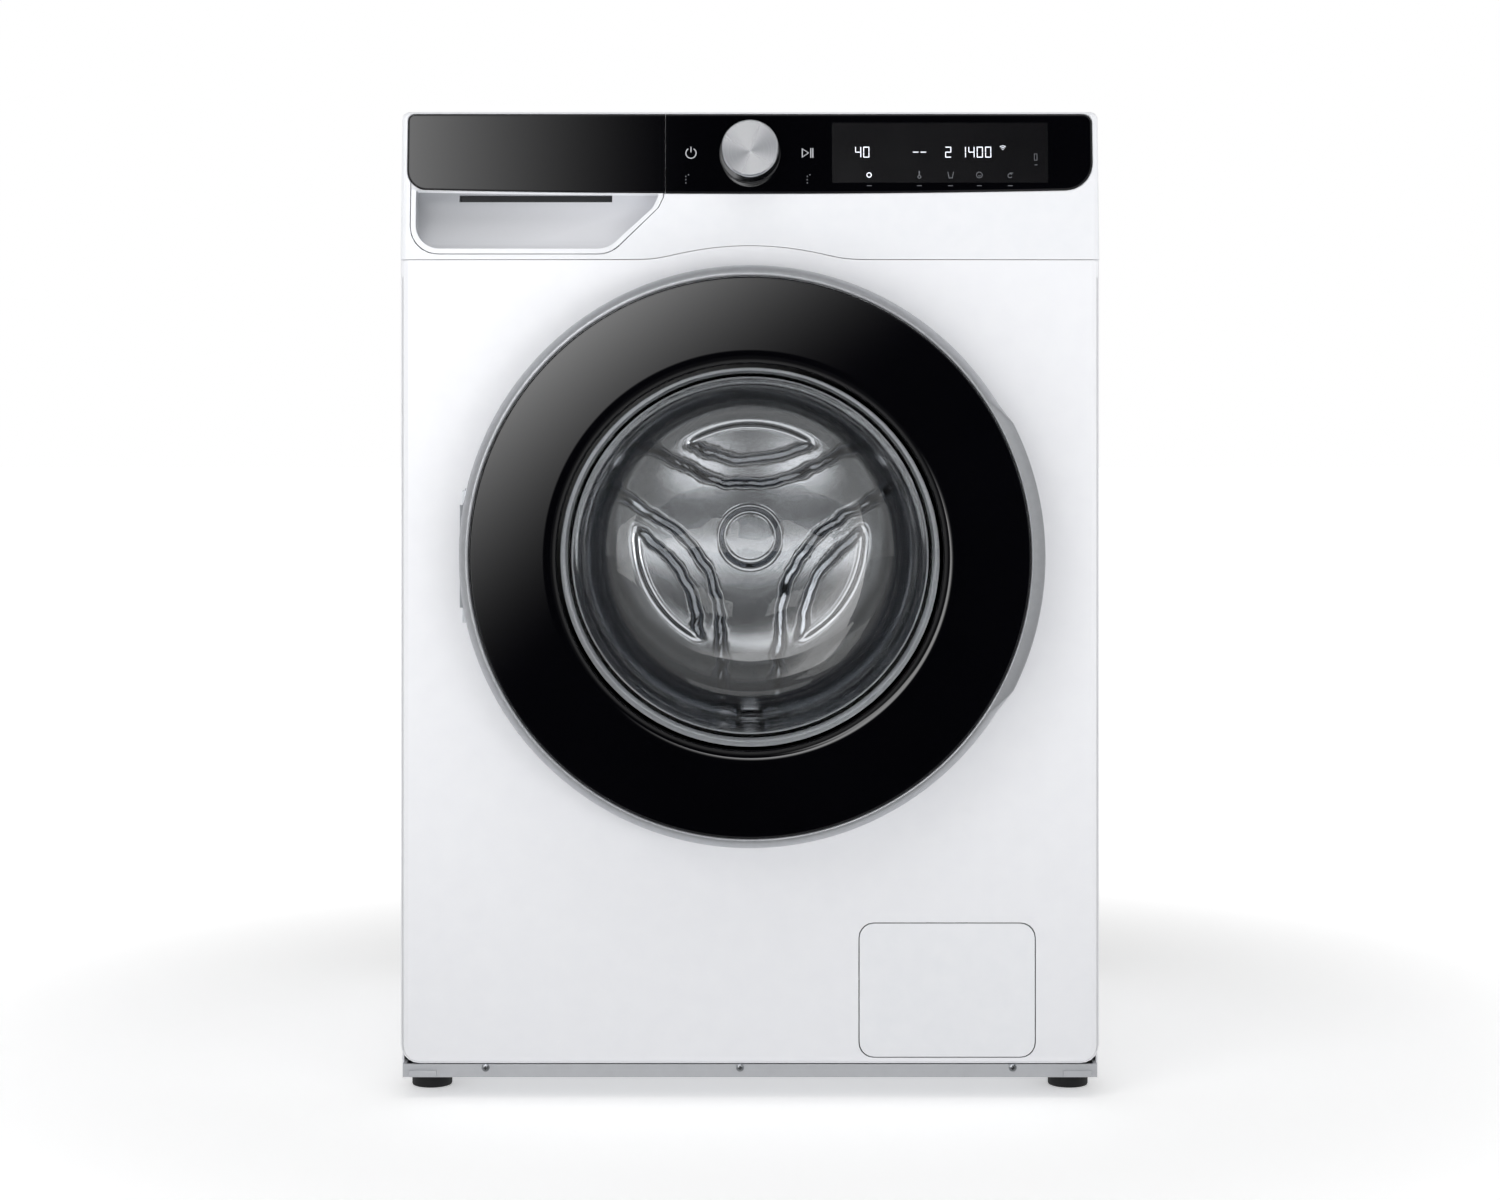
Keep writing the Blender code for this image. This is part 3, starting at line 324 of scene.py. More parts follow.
def make_finishes(colours):
    """Every finish of the machine, named for its material and how its surface was made."""
    # Powder-coated steel: an even white with the faint orange peel of baked enamel.
    surface("baked_white_enamel", ("f4f5f8", "eff0f4"), (0.30, 0.36), 1.6, 0.004, Coat_Weight=0.15)
    # Injection-moulded white ABS: a little softer and glossier than the enamel beside it.
    surface("moulded_white_abs", ("f3f4f7", "eceef2"), (0.28, 0.36), 1.2, 0.004)
    # Moulded ABS inside the finger scoop: satin, with painted shade greying it toward the hollow's upper
    # left.
    plastic_with_painted_shade("scoop_abs_with_painted_shade", ("a9abaf", "e2e3e7"), (0.32, 0.42))
    # Laminate on board: a fine pebble under the light.
    surface("pebbled_white_laminate", ("f1f2f4", "e9ebee"), (0.38, 0.5), 0.7, 0.02)
    # Toughened glass printed black behind: deep black with mirror-like gloss.
    surface("printed_black_glass", ("030305", "060609"), (0.03, 0.06), 9.0, 0.0, IOR=1.5)
    # Painted ABS trim: satin silver-grey with fine metal flake.
    surface("flake_silver_paint", ("b2b4b8", "a1a3a7"), (0.30, 0.42), 0.5, 0.003, metallic=0.55)
    # Painted steel rail: satin mid-grey.
    surface("satin_grey_paint", ("c6c8cc", "bbbdc1"), (0.42, 0.52), 1.0, 0.006, metallic=0.2)
    # Moulded grey ABS: the plain inner side of the door.
    surface("moulded_grey_abs", ("bcbfc3", "b0b3b8"), (0.4, 0.5), 0.9, 0.01)
    # Filled polypropylene of the tub: waxy, slightly mottled grey.
    surface("mottled_grey_polypropylene", ("b8babc", "a6a8ab"), (0.5, 0.62), 2.5, 0.02)
    # Polypropylene of the tray: translucent-looking, waxy white.
    surface("waxy_white_polypropylene", ("eaecef", "dfe2e7"), (0.38, 0.5), 1.5, 0.008)
    # Blue polypropylene of the siphon cap.
    surface("waxy_blue_polypropylene", ("6289bd", "5479ac"), (0.4, 0.5), 1.5, 0.008)
    # Moulded black nylon: fine matt grain.
    surface("grained_black_nylon", ("1b1c1f", "242528"), (0.45, 0.6), 0.6, 0.015)
    # EPDM bellows: matt grey rubber with a dusting of talc.
    surface("talced_grey_rubber", ("6c6e72", "808286"), (0.6, 0.75), 1.2, 0.02)
    # Moulded black rubber of the feet and belt.
    surface("matt_black_rubber", ("141516", "202123"), (0.6, 0.75), 0.8, 0.02)
    # Grey sand casting under thin paint: coarse grain.
    surface("sand_cast_iron", ("4b4c4e", "3d3e40"), (0.7, 0.85), 1.8, 0.12, metallic=0.4)
    # Die-cast aluminium: pale, slightly streaked.
    surface("die_cast_aluminium", ("b0b2b5", "9c9ea2"), (0.38, 0.52), 1.5, 0.03, metallic=1.0)
    # Glass-filled green-black board housing.
    surface("moulded_board_housing", ("38463a", "303d33"), (0.55, 0.65), 0.9, 0.01)
    # Galvanised sheet: the zinc's crystals show as faint grey flakes.
    spangled("galvanised_sheet", ("a4a7ac", "b6b9bd"), (0.32, 0.44), 7.0)
    # Bright annealed stainless: polished, with the faint rings of its rolling.
    turned_metal("polished_stainless", ("d3d5d8", "bec0c4"), (0.17, 0.26), AXLE, anisotropic=0.2)
    # Deep-drawn stainless rear plate: a shade darker and softer.
    turned_metal("drawn_stainless", ("b9bbbf", "a9abaf"), (0.06, 0.10), AXLE, anisotropic=0.2)
    # Turned aluminium dial: fine circles, with light and dark sectors painted into its colour as the
    # highlights and shade of its brushed sheen.
    turned_metal("spun_aluminium", ("f4f5f8", "8f9196"), (0.22, 0.34), (0, 0, KNOB_Z), 2, 0.72, 0.7)
    # Diamond-cut aluminium: the bright edge of the dial.
    surface("bright_cut_aluminium", ("dcdde1", "c6c8cc"), (0.12, 0.2), 0.8, 0.0, metallic=1.0)
    # Pressed soda-lime glass of the door bowl.
    glass("pressed_clear_glass", "fafbfb", 0.0, 1.42)
    # Printed marks: pale grey ceramic ink.
    surface("ceramic_ink", ("c9cbd0", "b9bbc0"), (0.4, 0.5), 0.4)
    # The same ink, dimmed.
    surface("dim_ceramic_ink", ("6c6e73", "5e6065"), (0.4, 0.5), 0.4)
    # Display digits: the even white glow of a lamp behind diffusing plastic.
    lit = surface("lit_display_white", ("e9ebf0", "dfe2e8"), (0.4, 0.5), 0.4)
    fill(lit, Emission_Color=(*colours.display, 1), Emission_Strength=0.75)
    # The display's own window: smoked film a shade lighter than the glass.
    surface("smoked_display_film", ("0d0d0f", "111113"), (0.16, 0.22), 3.0)


CAD_FINISHES = {
    "baked_white_enamel": ["side_panel_left", "side_panel_right", "front_panel"],
    "moulded_white_abs": ["fascia", "filter_cover", "drawer_front"],
    "pebbled_white_laminate": ["worktop"],
    "satin_grey_paint": ["base_tray"],
    "galvanised_sheet": [
        "rear_panel", "rear_cover", "hinge_bracket", "hinge_pin", "door_hinge_arm", "latch_hook",
        "damper_rod_left", "damper_rod_right", "spring_left", "spring_right",
    ],
    "printed_black_glass": ["control_glass", "drawer_glass", "door_trim"],
    "moulded_grey_abs": ["door_inner_frame"],
    "mottled_grey_polypropylene": ["tub_front", "tub_rear", "drain_pump"],
    "waxy_white_polypropylene": ["dispenser_box", "drawer_tray", "water_valve"],
    "waxy_blue_polypropylene": ["softener_cap"],
    "grained_black_nylon": [
        "cord_inlet", "door_lock", "filter_plug", "damper_tube_left", "damper_tube_right",
    ],
    "talced_grey_rubber": ["gasket", "sump_hose", "dispenser_hose", "drain_hose"],
    "matt_black_rubber": [
        "drive_belt", "foot_front_left", "foot_front_right", "foot_rear_left", "foot_rear_right",
    ],
    "sand_cast_iron": ["counterweight_front", "counterweight_top"],
    "die_cast_aluminium": ["drum_spider", "drum_pulley", "motor"],
    "moulded_board_housing": ["control_board"],
    "polished_stainless": [
        "drum_shell", "drum_lifter_1", "drum_lifter_2", "drum_lifter_3", "heater", "drum_bearing",
        "motor_rotor",
    ],
    "drawn_stainless": ["drum_back"],
    "spun_aluminium": ["knob"],
    "flake_silver_paint": ["door_ring"],
    "pressed_clear_glass": ["door_bowl"],
}


def finish_cad_nodes():
    """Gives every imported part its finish."""
    for name, nodes in CAD_FINISHES.items():
        for node in nodes:
            slots = NODES[node].data.materials
            slots.clear()
            slots.append(bpy.data.materials[name])


# Door


def carve(obj, *tools):
    """Cuts shapes from a finished piece and keeps the result as its mesh."""
    for bm in tools:
        cutter = piece("carving_tool", bm, "moulded_white_abs", None)
        cutter.hide_render = True
        modifier = obj.modifiers.new("Carve", "BOOLEAN")
        modifier.object = cutter
        bpy.context.view_layer.update()
        evaluated = obj.evaluated_get(bpy.context.evaluated_depsgraph_get())
        carved = bpy.data.meshes.new_from_object(evaluated)
        obj.modifiers.clear()
        obj.data = carved
        bpy.data.objects.remove(cutter)
    obj.data.name = obj.name
    obj.modifiers.new("Weighted Normal", "WEIGHTED_NORMAL").keep_sharp = True


def block(low, high):
    bm = bmesh.new()
    size = [b - a for a, b in zip(low, high)]
    middle = [(a + b) / 2 for a, b in zip(low, high)]
    bmesh.ops.create_cube(bm, size=1, matrix=Matrix.Translation(middle) @ Matrix.Diagonal((*size, 1)))
    return bm


def handle_share(angle):
    """0 on the plain rim, 1 along the handle, with short slanted ends."""
    return max(0.0, min(1.0, (math.radians(33) - abs(angle)) / math.radians(6)))


# The rim's section, as (radius on the plain rim, depth, radius along the handle)
RIM = [
    (0.2318, -0.0020, 0.2318),
    (0.2450, -0.0020, 0.2400),
    (0.2462, -0.0026, 0.2402),
    (0.2468, -0.0040, 0.2404),
    (0.2468, -0.0290, 0.2404),
    (0.2466, -0.0325, 0.2432),
    (0.2460, -0.0355, 0.2478),
    (0.2450, -0.0385, 0.2490),
    (0.2434, -0.0415, 0.2491),
    (0.2418, -0.0437, 0.2489),
    (0.2408, -0.0446, 0.2484),
    (0.2398, -0.0450, 0.2476),
    (0.2384, -0.0450, 0.2384),
    (0.2378, -0.0447, 0.2378),
    (0.2374, -0.0440, 0.2374),
    (0.2370, -0.0397, 0.2370),
    (0.2318, -0.0397, 0.2318),
]


def make_door_rim(steps):
    bm = turned([(r, y) for r, y, _ in RIM], steps)
    reach = {(round(r, 4), round(y, 4)): handle for r, y, handle in RIM}
    for vert in bm.verts:
        radius = math.hypot(vert.co.x, vert.co.z)
        share = handle_share(math.atan2(vert.co.z, vert.co.x))
        handle = reach[(round(radius, 4), round(vert.co.y, 4))]
        scale = 1 + share * (handle / radius - 1)
        vert.co.x *= scale
        vert.co.z *= scale
    rim = piece("door_rim", bm, "flake_silver_paint", None, offset=AXLE)
    carve(rim, moved(block((-0.262, -0.0345, -0.057), (-0.215, 0.005, 0.057)), AXLE))
    rim.data.shade_smooth()
    rim.data.set_sharp_from_angle(angle=math.radians(40))
    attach(rim, "door")
    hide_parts("door_ring")


def make_door_face(steps):
    lip = [(0.1630, -0.0392), (0.1634, -0.0405), (0.1645, -0.0420), (0.1662, -0.0433), (0.1685, -0.0442)]
    lip += [(0.1715, -0.0447), (0.1750, -0.0448)]
    edge = [(0.2350, -0.0448), (0.2358, -0.0446), (0.2364, -0.0440), (0.2365, -0.0432)]
    back = [(0.2365, -0.0400), (0.1740, -0.0400), (0.1655, -0.0392)]
    bm = turned(lip + edge + back, steps)
    piece("door_face", bm, "printed_black_glass", "door", ["door_trim"], AXLE, sharp=50)


def smooth_line(points, parts):
    """Points along a Catmull-Rom line through the given ones."""
    spots = [Vector(p) for p in points]
    ends = [2 * spots[0] - spots[1], *spots, 2 * spots[-1] - spots[-2]]
    out = []
    for before, start, end, after in zip(ends, ends[1:], ends[2:], ends[3:]):
        for step in range(parts):
            t = step / parts
            line = 2 * start + (end - before) * t + (2 * before - 5 * start + 4 * end - after) * t**2
            out.append((line + (3 * start - before - 3 * end + after) * t**3) / 2)
    return [tuple(p) for p in [*out, spots[-1]]]


def make_door_bowl(steps):
    near = [(0, 0.0875), (0.069, 0.0850), (0.116, 0.0765), (0.1372, 0.0590), (0.1458, 0.0335)]
    near += [(0.1515, 0.0040), (0.1530, -0.0070)]
    ledge = [(0.1552, -0.0085), (0.1560, -0.0110)]
    rim = [(0.1572, -0.0210), (0.1590, -0.0350), (0.1600, -0.0388)]
    flange = [(0.1725, -0.0388), (0.1725, -0.0334), (0.1642, -0.0334)]
    far = [(0.1610, -0.0200), (0.1560, 0.0050), (0.1500, 0.0350), (0.1410, 0.0620)]
    far += [(0.1180, 0.0810), (0.0700, 0.0895), (0, 0.0920)]
    line = smooth_line(near, 5) + ledge + rim + flange + smooth_line(far, 5)
    bm = turned([(max(r, 0), y) for r, y in line], steps)
    clear = "pressed_clear_glass"
    bowl = piece("door_glass_bowl", bm, clear, "door", ["door_bowl"], AXLE, sharp=60)
    bowl.visible_shadow = False


def make_gasket(steps):
    outer = [(0.1774, 0.0003), (0.1774, 0.0030), (0.1820, 0.0040), (0.1820, 0.0090), (0.1765, 0.0150)]
    outer += [(0.1765, 0.0290), (0.1825, 0.0370), (0.1765, 0.0460), (0.1765, 0.0577)]
    inner = [(0.1735, 0.0577), (0.1735, 0.0460), (0.1795, 0.0370), (0.1735, 0.0290), (0.1735, 0.0150)]
    inner += [(0.1640, 0.0140), (0.1600, 0.0120), (0.1585, 0.0095), (0.1590, 0.0070), (0.1640, 0.0040)]
    inner += [(0.1720, 0.0003)]
    bm = turned([tuple(p) for p in smooth_line(outer, 3) + smooth_line(inner, 3)], steps)
    rubber = "talced_grey_rubber"
    gasket = piece("door_gasket", bm, rubber, None, ["gasket"], AXLE, sharp=70)
    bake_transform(gasket)


# Drum


def ease(value, start, end):
    """A smooth 0 to 1 step between two values."""
    share = max(0.0, min(1.0, (value - start) / (end - start)))
    return share * share * (3 - 2 * share)


def star_height(x, z):
    """How far the rear plate's pressed star stands forward at a point."""
    radius = math.hypot(x, z)
    spread_of_arms = 0.018
    total = 0.0
    for angle in (-90, 30, 150):
        along = Vector((math.cos(math.radians(angle)), math.sin(math.radians(angle))))
        reach = max(0.0, x * along.x + z * along.y)
        gap = math.hypot(x - reach * along.x, z - reach * along.y)
        total += math.exp(-gap / spread_of_arms)
    near = -spread_of_arms * math.log(total)
    near += 0.0024 * noise.noise(Vector((x * 80, z * 80, 0.3)))
    arm = 0.0032 * (1 - ease(near, 0.024, 0.033))
    pocket = ease(near, 0.047, 0.055) * (1 - ease(radius, 0.112, 0.120))
    hub = 0.0016 * (1 - ease(radius, 0.025, 0.032))
    return arm + hub + 0.003 * (1 - pocket) - 0.002


def make_drum_back(steps, rings):
    front, back, edge = 0.4190, 0.4268, 0.2437
    profile = [(edge * i / rings, front) for i in range(rings + 1)]
    profile += [(edge, back), (0, back)]
    bm = turned(profile, steps)
    for vert in bm.verts:
        if vert.co.y < front + 1e-6:
            fade = 1 - ease(math.hypot(vert.co.x, vert.co.z), 0.225, 0.240)
            vert.co.y -= star_height(vert.co.x, vert.co.z) * fade
    steel = "drawn_stainless"
    piece("drum_star_plate", bm, steel, "drum", ["drum_back"], AXLE, sharp=80)


def make_drum_shell(steps, hole_radius):
    inner = 0.2425
    shell = [(0.1725, 0.0980), (0.2340, 0.0980), (0.2380, 0.0988), (0.2420, 0.1010), (0.2440, 0.1050)]
    shell += [(0.2440, 0.4250), (inner, 0.4250), (inner, 0.1056), (0.2407, 0.1020), (0.2374, 0.1000)]
    shell += [(0.1745, 0.0995), (0.1745, 0.1060), (0.1735, 0.1072), (0.1725, 0.1060)]
    steel = "polished_stainless"
    piece("drum_sheet", turned(shell, steps), steel, "drum", ["drum_shell"], AXLE)
    holes = []
    rows, columns, first_row, row_gap, lifter_half_angle = 23, 84, 0.128, 0.0125, 9
    for row in range(rows):
        for column in range(columns):
            angle = math.tau * (column + 0.5 * (row % 2)) / columns
            gaps = [abs((math.degrees(angle) - lifter - 90) % 360 - 180) for lifter in (0, 120, 240)]
            if min(gaps) < lifter_half_angle:
                continue
            turn = Matrix.Rotation(-angle, 3, "Y")
            disc = bmesh.new()
            bmesh.ops.create_circle(
                disc,
                cap_ends=True,
                segments=8,
                radius=hole_radius,
                matrix=Matrix.Rotation(-math.pi / 2, 4, "Y"),
            )
            place = turn @ Vector((inner - 0.0003, first_row + row_gap * row, 0))
            holes.append(moved(disc, place, turn))
    # Each hole is a black disc just inside the sheet: painted shade for the dark seen through a real hole.
    piece("drum_perforations", merged(holes), "grained_black_nylon", "drum", (), AXLE)


def make_lifters():
    outline = [(-0.0300, -0.2380), (0.0300, -0.2380), (0.0270, -0.2300), (0.0225, -0.2200)]
    outline += [(0.0175, -0.2100), (0.0120, -0.2025), (0.0060, -0.1985), (0, -0.1978)]
    outline += [(-x, z) for x, z in reversed(outline[2:-1])]
    low, high, base = 0.115, 0.405, -0.2380
    cuts = [0.118, 0.122, 0.128, 0.136, 0.146, 0.200, 0.260, 0.320, 0.374, 0.384, 0.392, 0.398, 0.402]
    for index, angle in enumerate((0, 120, 240)):
        bm = slab(outline, low, high)
        for y in cuts:
            bmesh.ops.bisect_plane(
                bm, geom=[*bm.verts, *bm.edges, *bm.faces], plane_co=(0, y, 0), plane_no=(0, 1, 0)
            )
        for vert in bm.verts:
            end = min(vert.co.y - low, high - vert.co.y)
            share = 0.3 + 0.7 * ease(end, 0, 0.032)
            vert.co.z = base + (vert.co.z - base) * share
            vert.co.x *= 0.75 + 0.25 * share
        moved(bm, (0, 0, 0), Matrix.Rotation(math.radians(angle), 3, "Y"))
        number, steel = index + 1, "polished_stainless"
        replaced = [f"drum_lifter_{number}"]
        piece(f"pressed_lifter_{number}", bm, steel, "drum", replaced, AXLE, sharp=50)


# Control panel


def on_panel(bm):
    """Leans a control panel shape back and sets it on the machine's front."""
    lean_back(bm)
    return moved(bm, FRONT)


def glass_outline(left, right, spots=24):
    """The black panel's outline between two sides: a shallow bowed lower edge and rounded end corners."""

    def low(x):
        return GLASS_LOW + GLASS_BOW * (x / GLASS_LEFT) ** 2

    whole_left, whole_right = left < GLASS_LEFT + 0.001, right > -GLASS_LEFT - 0.001
    across = [left + (right - left) * i / spots for i in range(spots + 1)]
    first = [(left, low(left), 0.017 if whole_left else 0)]
    last = [(right, low(right), 0.024 if whole_right else 0)]
    middle = [(x, low(x), 0) for x in across if left + 0.03 < x < right - 0.03]
    top = [(right, GLASS_TOP, 0.008 if whole_right else 0), (left, GLASS_TOP, 0.006 if whole_left else 0)]
    return rounded(first + middle + last + top, 10)


def make_glass(name, node, body, left, right):
    bm = slab(glass_outline(left, right), GLASS_FRONT, GLASS_BACK)
    rim = [e for e in front_edges(bm) if any(abs(v.co.x - GLASS_SPLIT) > 0.001 for v in e.verts)]
    soften(bm, rim, 0.0016, 1)
    piece(name, on_panel(bm), "printed_black_glass", body, [node], sharp=14)


def make_dial(steps):
    profile = [(0, -0.0238), (0.0222, -0.0240), (0.0232, -0.0240), (0.0243, -0.0229), (0.0247, -0.0220)]
    profile += [(0.0250, -0.0180), (0.0255, -0.0080), (0.0257, -0.0045), (0.0261, -0.0036)]
    profile += [(0.0262, -0.0028), (0.0259, -0.0018), (0.0247, -0.0013), (0, -0.0013)]
    bm = turned(profile, steps)
    height = FRONT_Y + (KNOB_Z - SEAM_Z) * math.tan(TILT)
    moved(bm, (0, height, KNOB_Z), Matrix.Rotation(-TILT, 3, "X"))
    dial = piece("dial", bm, "spun_aluminium", "dial", ["knob"], sharp=25)
    dial.data.materials.append(bpy.data.materials["bright_cut_aluminium"])
    axis = Matrix.Rotation(-TILT, 3, "X") @ Vector((0, -1, 0))
    for face in dial.data.polygons:
        about = face.center - Vector((0, height, KNOB_Z))
        if about.cross(axis).length > 0.0233:
            face.material_index = 1


def mark_bar(x, z, width, height):
    return rounded([(x, z, 0), (x + width, z, 0), (x + width, z + height, 0), (x, z + height, 0)])


def mark_ring(x, z, radius, thick, start=0, end=360, steps=28):
    """A ring or an arc as outlines, one for each short run of it."""
    angles = [math.radians(start + (end - start) * i / steps) for i in range(steps + 1)]
    spots = [Vector((math.cos(a), math.sin(a))) for a in angles]
    runs = []
    for a, b in zip(spots, spots[1:]):
        corners = [a * radius, b * radius, b * (radius - thick), a * (radius - thick)]
        runs.append([(x + c.x, z + c.y) for c in corners])
    return runs


SEGMENTS = {
    "0": "abcdef",
    "1": "bc",
    "2": "abged",
    "4": "fgbc",
    "-": "g",
}


def mark_digit(digit, x, z, width=0.0052, height=0.0094, thick=0.0007):
    """A seven-segment digit as outlines."""
    half = height / 2
    bars = {
        "a": (0, height - thick, width, thick),
        "g": (0, half - thick / 2, width, thick),
        "d": (0, 0, width, thick),
        "f": (0, half, thick, half),
        "b": (width - thick, half, thick, half),
        "e": (0, 0, thick, half),
        "c": (width - thick, 0, thick, half),
    }
    slip = 0.00022
    outlines = []
    for key in SEGMENTS[digit]:
        left, low, across, up = bars[key]
        long_way = across > up
        inset = (slip, 0) if long_way else (0, slip)
        outlines.append(
            mark_bar(x + left + inset[0], z + low + inset[1], across - 2 * inset[0], up - 2 * inset[1])
        )
    return outlines


def add_marks(name, outlines, material, lift=0.00004):
    shapes = [slab(o, GLASS_FRONT - lift - 0.00016, GLASS_FRONT - lift) for o in outlines]
    piece(name, on_panel(merged(shapes)), material, "cabinet")


def make_marks():
    corners = [(0.0706, 0.7868), (0.2564, 0.7868), (0.2564, 0.8388), (0.0706, 0.8388)]
    window = rounded([(*corner, 0.001) for corner in corners])
    add_marks("display_window", [window], "smoked_display_film", 0.00002)
    power = mark_ring(-0.0508, 0.8124, 0.0048, 0.0008, 122, 418)
    power.append(mark_bar(-0.0512, 0.8132, 0.0008, 0.0048))
    start = [[(0.0446, 0.8084), (0.0454, 0.8096), (0.0454, 0.8156), (0.0446, 0.8168)]]
    start.append([(0.0446, 0.8168), (0.0454, 0.8156), (0.0499, 0.8126), (0.0509, 0.8126)])
    start.append([(0.0446, 0.8084), (0.0509, 0.8126), (0.0499, 0.8126), (0.0454, 0.8096)])
    start += [mark_bar(x, 0.8084, 0.0009, 0.0084) for x in (0.0519, 0.0536)]
    add_marks("touch_key_marks", power + start, "ceramic_ink", 0.00003)
    dim = []
    for x in (-0.0556, 0.0488):
        for across, up in ((0, 0), (0, 0.0028), (0.0022, 0.0042), (0, -0.0028)):
            dim.append(mark_bar(x + across, 0.7888 + up, 0.0009, 0.0011))
    for x in (0.1022, 0.1452, 0.1720, 0.1968, 0.2234):
        dim.append(mark_bar(x - 0.0018, 0.7838, 0.0042, 0.0006))
    dim += mark_ring(0.1456, 0.7918, 0.0016, 0.0007, steps=14)
    dim.append(mark_bar(0.1450, 0.7930, 0.0011, 0.0040))
    tub = [(0.1698, 0.7962), (0.1704, 0.7962), (0.1714, 0.7912), (0.1737, 0.7912), (0.1747, 0.7962)]
    tub += [(0.1753, 0.7962), (0.1742, 0.7905), (0.1709, 0.7905)]
    dim.append(tub)
    dim += mark_ring(0.1972, 0.7934, 0.0028, 0.0006, steps=20)
    dim += mark_ring(0.1972, 0.7934, 0.0013, 0.0006, 200, 340, steps=10)
    dim += mark_ring(0.2236, 0.7928, 0.0021, 0.0006, 30, 330, steps=16)
    dim.append(mark_bar(0.2232, 0.7948, 0.0030, 0.0006))
    box = [(0.2444, 0.8060, 0.0028, 0.0005), (0.2444, 0.8115, 0.0028, 0.0005)]
    box += [(0.2444, 0.8060, 0.0005, 0.0060), (0.2467, 0.8060, 0.0005, 0.0060)]
    box += [(0.2448, 0.8020, 0.0024, 0.0005)]
    dim += [mark_bar(*b) for b in box]
    add_marks("small_key_marks", dim, "dim_ceramic_ink", 0.00022)
    lit = mark_ring(0.1024, 0.7934, 0.0023, 0.0008, steps=20)
    places = (0.0905, 0.0975, 0.1400, 0.1466, 0.1680, 0.1806, 0.1880, 0.1952, 0.2024)
    for digit, x in zip("40--21400", places):
        lit += mark_digit(digit, x, 0.8086)
    for radius in (0.0012, 0.0027, 0.0042):
        lit += mark_ring(0.2176, 0.8148, radius, 0.0005, 52, 128, steps=8)
    add_marks("lit_digits", lit, "lit_display_white", 0.00022)


# Drawer


SCOOP_RAMP = [(0.7300, 0.0002), (0.7312, 0.0030), (0.7335, 0.0066), (0.7370, 0.0106), (0.7415, 0.0146)]
SCOOP_RAMP += [(0.7470, 0.0184), (0.7530, 0.0215), (0.7590, 0.0240), (0.7660, 0.0262), (0.7730, 0.0276)]
SCOOP_RAMP += [(0.7767, 0.0281), (0.7768, 0.0281), (0.7795, 0.0270)]


def drawer_outline(inset=0.0):
    left, right, low, top = -0.2915 + inset, -0.0745 - inset, 0.7253 + inset, 0.8445
    slip = inset * 1.05
    corners = [(left, low, 0.024 - inset * 0.8), (-0.1200 - inset * 0.45, low, 0.026 - inset * 0.8)]
    corners += [(-0.0790 - slip, 0.7650, 0.006), (right, 0.7745, 0.004)]
    return rounded([*corners, (right, top, 0), (left, top, 0)], 10)


def scoop():
    """The finger scoop: the drawer's outline drawn in, hollowed by a ramp that deepens upward."""
    top = SCOOP_RAMP[-1][0]
    bm = slab(drawer_outline(0.0044), -0.02, 0.05)
    geometry = [*bm.verts, *bm.edges, *bm.faces]
    cut = bmesh.ops.bisect_plane(
        bm, geom=geometry, plane_co=(0, 0, top), plane_no=(0, 0, 1), clear_outer=True
    )["geom_cut"]
    bmesh.ops.contextual_create(bm, geom=[e for e in cut if isinstance(e, bmesh.types.BMEdge)])
    for level, _ in SCOOP_RAMP[1:-1]:
        geometry = [*bm.verts, *bm.edges, *bm.faces]
        bmesh.ops.bisect_plane(bm, geom=geometry, plane_co=(0, 0, level), plane_no=(0, 0, 1))
    for vert in bm.verts:
        z = vert.co.z
        if vert.co.y > 0:
            vert.co.y = ramp_depth(z)
        elif z > 0.77675:
            vert.co.y = 0.0045
        if z > 0.77:
            vert.co.z += GLASS_BOW * (vert.co.x / GLASS_LEFT) ** 2
    bmesh.ops.recalc_face_normals(bm, faces=bm.faces)
    return bm


def ramp_depth(z):
    for (low, near), (high, far) in zip(SCOOP_RAMP, SCOOP_RAMP[1:]):
        if z <= high:
            return near + (far - near) * max(0.0, z - low) / (high - low)
    return SCOOP_RAMP[-1][1]


def make_drawer_front():
    bm = slab(drawer_outline(), 0, 0.036)
    soften(bm, front_edges(bm), 0.0008, 2)
    front = piece("drawer_face", on_panel(bm), "moulded_white_abs", None)
    recess = slab(glass_outline(GLASS_LEFT - 0.01, GLASS_SPLIT + 0.01), -0.02, 0.0022)
    slot = block((-0.2520, 0.0200, 0.7716), (-0.1195, 0.0352, 0.7776))
    carve(front, on_panel(recess), on_panel(scoop()), on_panel(slot))
    # The scoop's faces take the plastic with painted shade; faces deeper than the ramp, in the grip slot,
    # take black nylon as painted shade for the dark inside the slot.
    front.data.materials.append(bpy.data.materials["scoop_abs_with_painted_shade"])
    front.data.materials.append(bpy.data.materials["grained_black_nylon"])
    left, right, low, top = -0.2872, -0.0785, SCOOP_RAMP[0][0] - 0.001, 0.7793
    for face in front.data.polygons:
        x, y, z = face.center
        leaned = y - FRONT_Y - (z - SEAM_Z) * math.tan(TILT)
        if low < z < top and leaned > 0.0002 and left < x < right:
            face.material_index = 2 if leaned > ramp_depth(z) + 0.0006 else 1
    front.data.shade_smooth()
    front.data.set_sharp_from_angle(angle=math.radians(34))
    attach(front, "drawer")
    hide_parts("drawer_front")


# Base, back and inside


